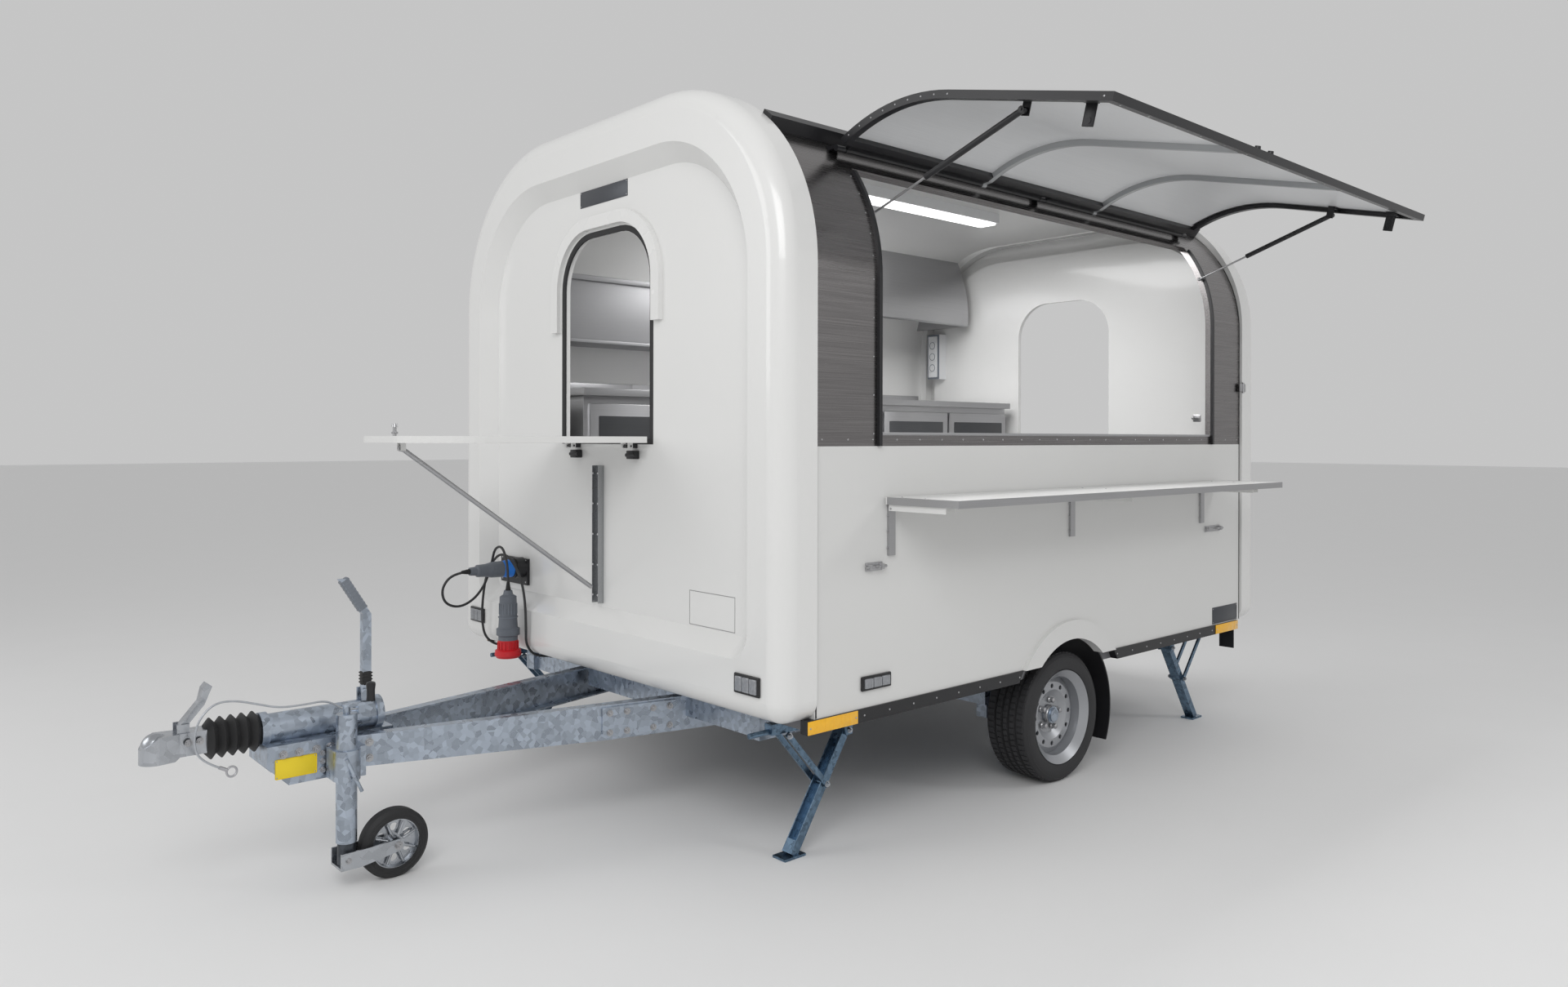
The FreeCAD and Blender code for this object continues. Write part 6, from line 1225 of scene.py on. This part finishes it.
class TRAILER_OT_interior(TrailerOperator):
    """Cupboards, hook, latch, sockets, ceiling lamp and hood lip of the cabin"""

    bl_idname = "trailer.interior"
    bl_label = "Interior"

    def execute(self, context):
        self.make_cupboards()
        self.make_front_stretch()
        self.make_fittings()
        return {"FINISHED"}

    def add_front(self, bm, span, back, face, proud, dark):
        """A cupboard's front with its dark panel."""
        add_box(bm, span, (back, face), (560, 1480), 4)
        add_box(bm, (span[0] + 40, span[1] - 40), (face, proud), (610, 1430), 2, dark)

    def make_cupboards(self):
        bm = bmesh.new()
        wide = 2060 / CUPBOARDS
        for number in range(CUPBOARDS):
            front = -740 - number * wide
            self.add_front(bm, (front - wide + 8, front - 8), -340, -324, -321, 1)
            handle = front - wide + 26 if number % 2 else front - 26
            add_bar(bm, handle, -306, (1130, 1310), 6)
            for z in (1145, 1295):
                add_bar(bm, handle, (-324, -306), z, 4.5, 12)
        finish_piece("cupboard_fronts", bm, ("bright steel", "cupboard dark"))

    def make_front_stretch(self):
        bm = bmesh.new()
        add_box(bm, (-702, -6), (-1003, -300), (1510, 1540), 3)
        add_box(bm, (-702, -6), (-1003, -983), (1538, 1600), 3)
        add_box(bm, (-742, -30), (-1001, -344), (482, 1512), 4)
        for span in ((-726, -400), (-384, -52)):
            self.add_front(bm, span, -344, -326, -322, 2)
        for z in (1330, 1400):
            add_box(bm, (-398, -374), (-328, -318), (z - 14, z + 14), 2, 1)
        finish_piece("front_cupboard", bm, ("bright steel", "cabin lining", "cupboard dark"))
        bm = bmesh.new()
        add_box(bm, (-1496, -10), (-964, -702), (1764, 2036), 4)
        add_box(bm, (-1498, -8), (-960, -690), (2032, 2056), 3)
        add_box(bm, (-1498, -8), (-704, -696), (1760, 1774), 2)
        add_box(bm, (-863, -857), (-703, -699), (1778, 2030), 0, 1)
        finish_piece("front_wall_cupboard", bm, ("satin steel", "joint shadow"))

    def make_fittings(self):
        bm = bmesh.new()
        add_box(bm, (-2795, -2787), (800, 840), (1425, 1461), 3)
        add_bar(bm, (-2789, -2752), 820, 1443, 5, 14)
        add_dome(bm, at(-2752, 820, 1443), (1, 0, 0), 9, 7)
        finish_piece("rear_wall_hook", bm, "bright steel")
        bm = bmesh.new()
        add_box(bm, (-2830, -2775), (1037, 1044), (1566, 1604), 2)
        add_bar(bm, -2803, 1044, (1560, 1610), 5, 14)
        finish_piece("rear_seam_latch", bm, "bright steel")
        bm = bmesh.new()
        add_box(bm, (-2803, -2797), (-910, -820), (1700, 1970), 3)
        add_box(bm, (-2798, -2793), (-899, -831), (1712, 1958), 4, 1)
        for z in (1768, 1835, 1902):
            add_box(bm, (-2794, -2790), (-890, -840), (z - 25, z + 25), 4, 1)
            add_spin(bm, [(0, 0), (-3, 0), (-3, 18), (1.2, 19), (1.2, 21), (0, 22)],
                     at(-2790, -865, z), (1, 0, 0), 24)
        finish_piece("wall_sockets", bm, ("grey plastic", "cabin lining"))
        bm = bmesh.new()
        add_box(bm, (-2072, -1128), (52, 148), (2391, 2401), 8)
        finish_piece("ceiling_lamp_lens", bm, "lamp glow")
        bm = bmesh.new()
        add_strip(bm, grid((-1504, -2796), -604, 2003), flat_bar(14, 3, 1), out=(0, 0.5, -1))
        add_heads(bm, grid(even_spots(-2740, -1560, 240), -600, 2018), (0, 1, 0), 3, 1.6)
        finish_piece("hood_lip", bm, "bright steel")


class TRAILER_OT_rear(TrailerOperator):
    """Seal and handle of the rear door"""

    bl_idname = "trailer.rear"
    bl_label = "Rear Door"

    def execute(self, context):
        bm = bmesh.new()
        line = arch_line(DOOR_HALF, DOOR_RADIUS, DOOR_TOP, DOOR_LOW)
        add_outline(bm, DOOR_FACE, [(y + DOOR_MIDDLE, z) for y, z in line],
                    flat_bar(14, 1.2, 0.3), -1)
        finish_piece("door_seal", bm, "rubber", "rear_door")
        bm = bmesh.new()
        add_box(bm, (DOOR_FACE - 12, DOOR_FACE), (880, 925), (1360, 1500), 5)
        add_bar(bm, (-2990, -3000), 902, 1462, 9, 20)
        add_box(bm, (-3004, -2994), (800, 912), (1453, 1471), 4)
        finish_piece("door_handle", bm, "black profile", "rear_door")
        return {"FINISHED"}


class TRAILER_OT_studio(TrailerOperator):
    """Floor, soft lights and the camera"""

    bl_idname = "trailer.studio"
    bl_label = "Trailer Studio"

    def execute(self, context):
        self.make_floor()
        self.make_lights()
        self.make_camera()
        return {"FINISHED"}

    def make_floor(self):
        bm = bmesh.new()
        bmesh.ops.create_grid(bm, x_segments=1, y_segments=1, size=60.0)
        mesh = new_mesh("studio_floor", bm)
        floor = new_object("studio_floor", mesh)
        mesh.materials.append(MATERIALS["studio floor"])

    def make_lights(self):
        scene = bpy.context.scene
        world = bpy.data.worlds.new("Studio")
        world.use_nodes = True
        sky = world.node_tree.nodes["Background"]
        sky.inputs["Color"].default_value = (1, 1, 1, 1)
        sky.inputs["Strength"].default_value = 0.56
        scene.world = world
        key = self.studio.key_light
        for name, spot, aim, size, power in (
            ("key", (3500, 4200, 4300), (-1200, 600, 1200), 3.0, key),
            ("fill", (5200, -2600, 3200), (0, 0, 1200), 3.0, key * 0.45),
            ("side", (-4200, 5600, 4200), (-150, 1000, 2000), 1.2, key * 0.28),
            ("cabin", (-1500, 100, 2380), (-1500, 0, 0), 1.2, self.studio.cabin_light),
        ):
            data = bpy.data.lights.new(name, "AREA")
            data.size = size
            data.energy = power
            lamp = new_object(name, data)
            lamp.location = at(*spot)
            way = at(*aim) - at(*spot)
            lamp.rotation_euler = way.to_track_quat("-Z", "Y").to_euler()
        scene.view_settings.view_transform = "Standard"

    def make_camera(self):
        lens = bpy.data.cameras.new("photo_camera")
        lens.lens = self.studio.focal
        lens.sensor_width = 36.0
        lens.shift_y = CAMERA_SHIFT / PHOTO_WIDTH
        lens.clip_end = 200.0
        camera = new_object("photo_camera", lens)
        turn = (
            Matrix.Rotation(math.radians(CAMERA_HEADING - 90), 4, "Z")
            @ Matrix.Rotation(math.radians(90 + CAMERA_PITCH), 4, "X")
            @ Matrix.Rotation(math.radians(CAMERA_ROLL), 4, "Z")
        )
        camera.matrix_world = Matrix.Translation(at(*CAMERA_SPOT)) @ turn
        bpy.context.scene.camera = camera


class TRAILER_PT_sidebar(bpy.types.Panel):
    """Lists the trailer's settings and its building steps"""

    bl_idname = "TRAILER_PT_sidebar"
    bl_label = "Catering Trailer"
    bl_space_type = "VIEW_3D"
    bl_region_type = "UI"
    bl_category = "Trailer"

    def draw(self, context):
        layout = self.layout
        for group in (context.scene.trailer_finish, context.scene.trailer_studio):
            box = layout.box()
            for name in group.bl_rna.properties.keys():
                if name not in ("rna_type", "name"):
                    box.prop(group, name)
        for step in STEPS:
            layout.operator(step.bl_idname)


STEPS = (
    TRAILER_OT_materials,
    TRAILER_OT_studio,
    TRAILER_OT_cords,
    TRAILER_OT_dress_frame,
    TRAILER_OT_wheels,
    TRAILER_OT_drawbar,
    TRAILER_OT_lamps,
    TRAILER_OT_front,
    TRAILER_OT_side,
    TRAILER_OT_hatch,
    TRAILER_OT_interior,
    TRAILER_OT_rear,
)
CLASSES = (TrailerFinish, TrailerStudio, *STEPS, TRAILER_PT_sidebar)


def register():
    for item in CLASSES:
        bpy.utils.register_class(item)
    bpy.types.Scene.trailer_finish = bpy.props.PointerProperty(type=TrailerFinish)
    bpy.types.Scene.trailer_studio = bpy.props.PointerProperty(type=TrailerStudio)


def unregister():
    del bpy.types.Scene.trailer_studio
    del bpy.types.Scene.trailer_finish
    for item in reversed(CLASSES):
        bpy.utils.unregister_class(item)


def main():
    register()
    for step in STEPS:
        group, name = step.bl_idname.split(".")
        getattr(getattr(bpy.ops, group), name)()


if __name__ == "__main__":
    main()
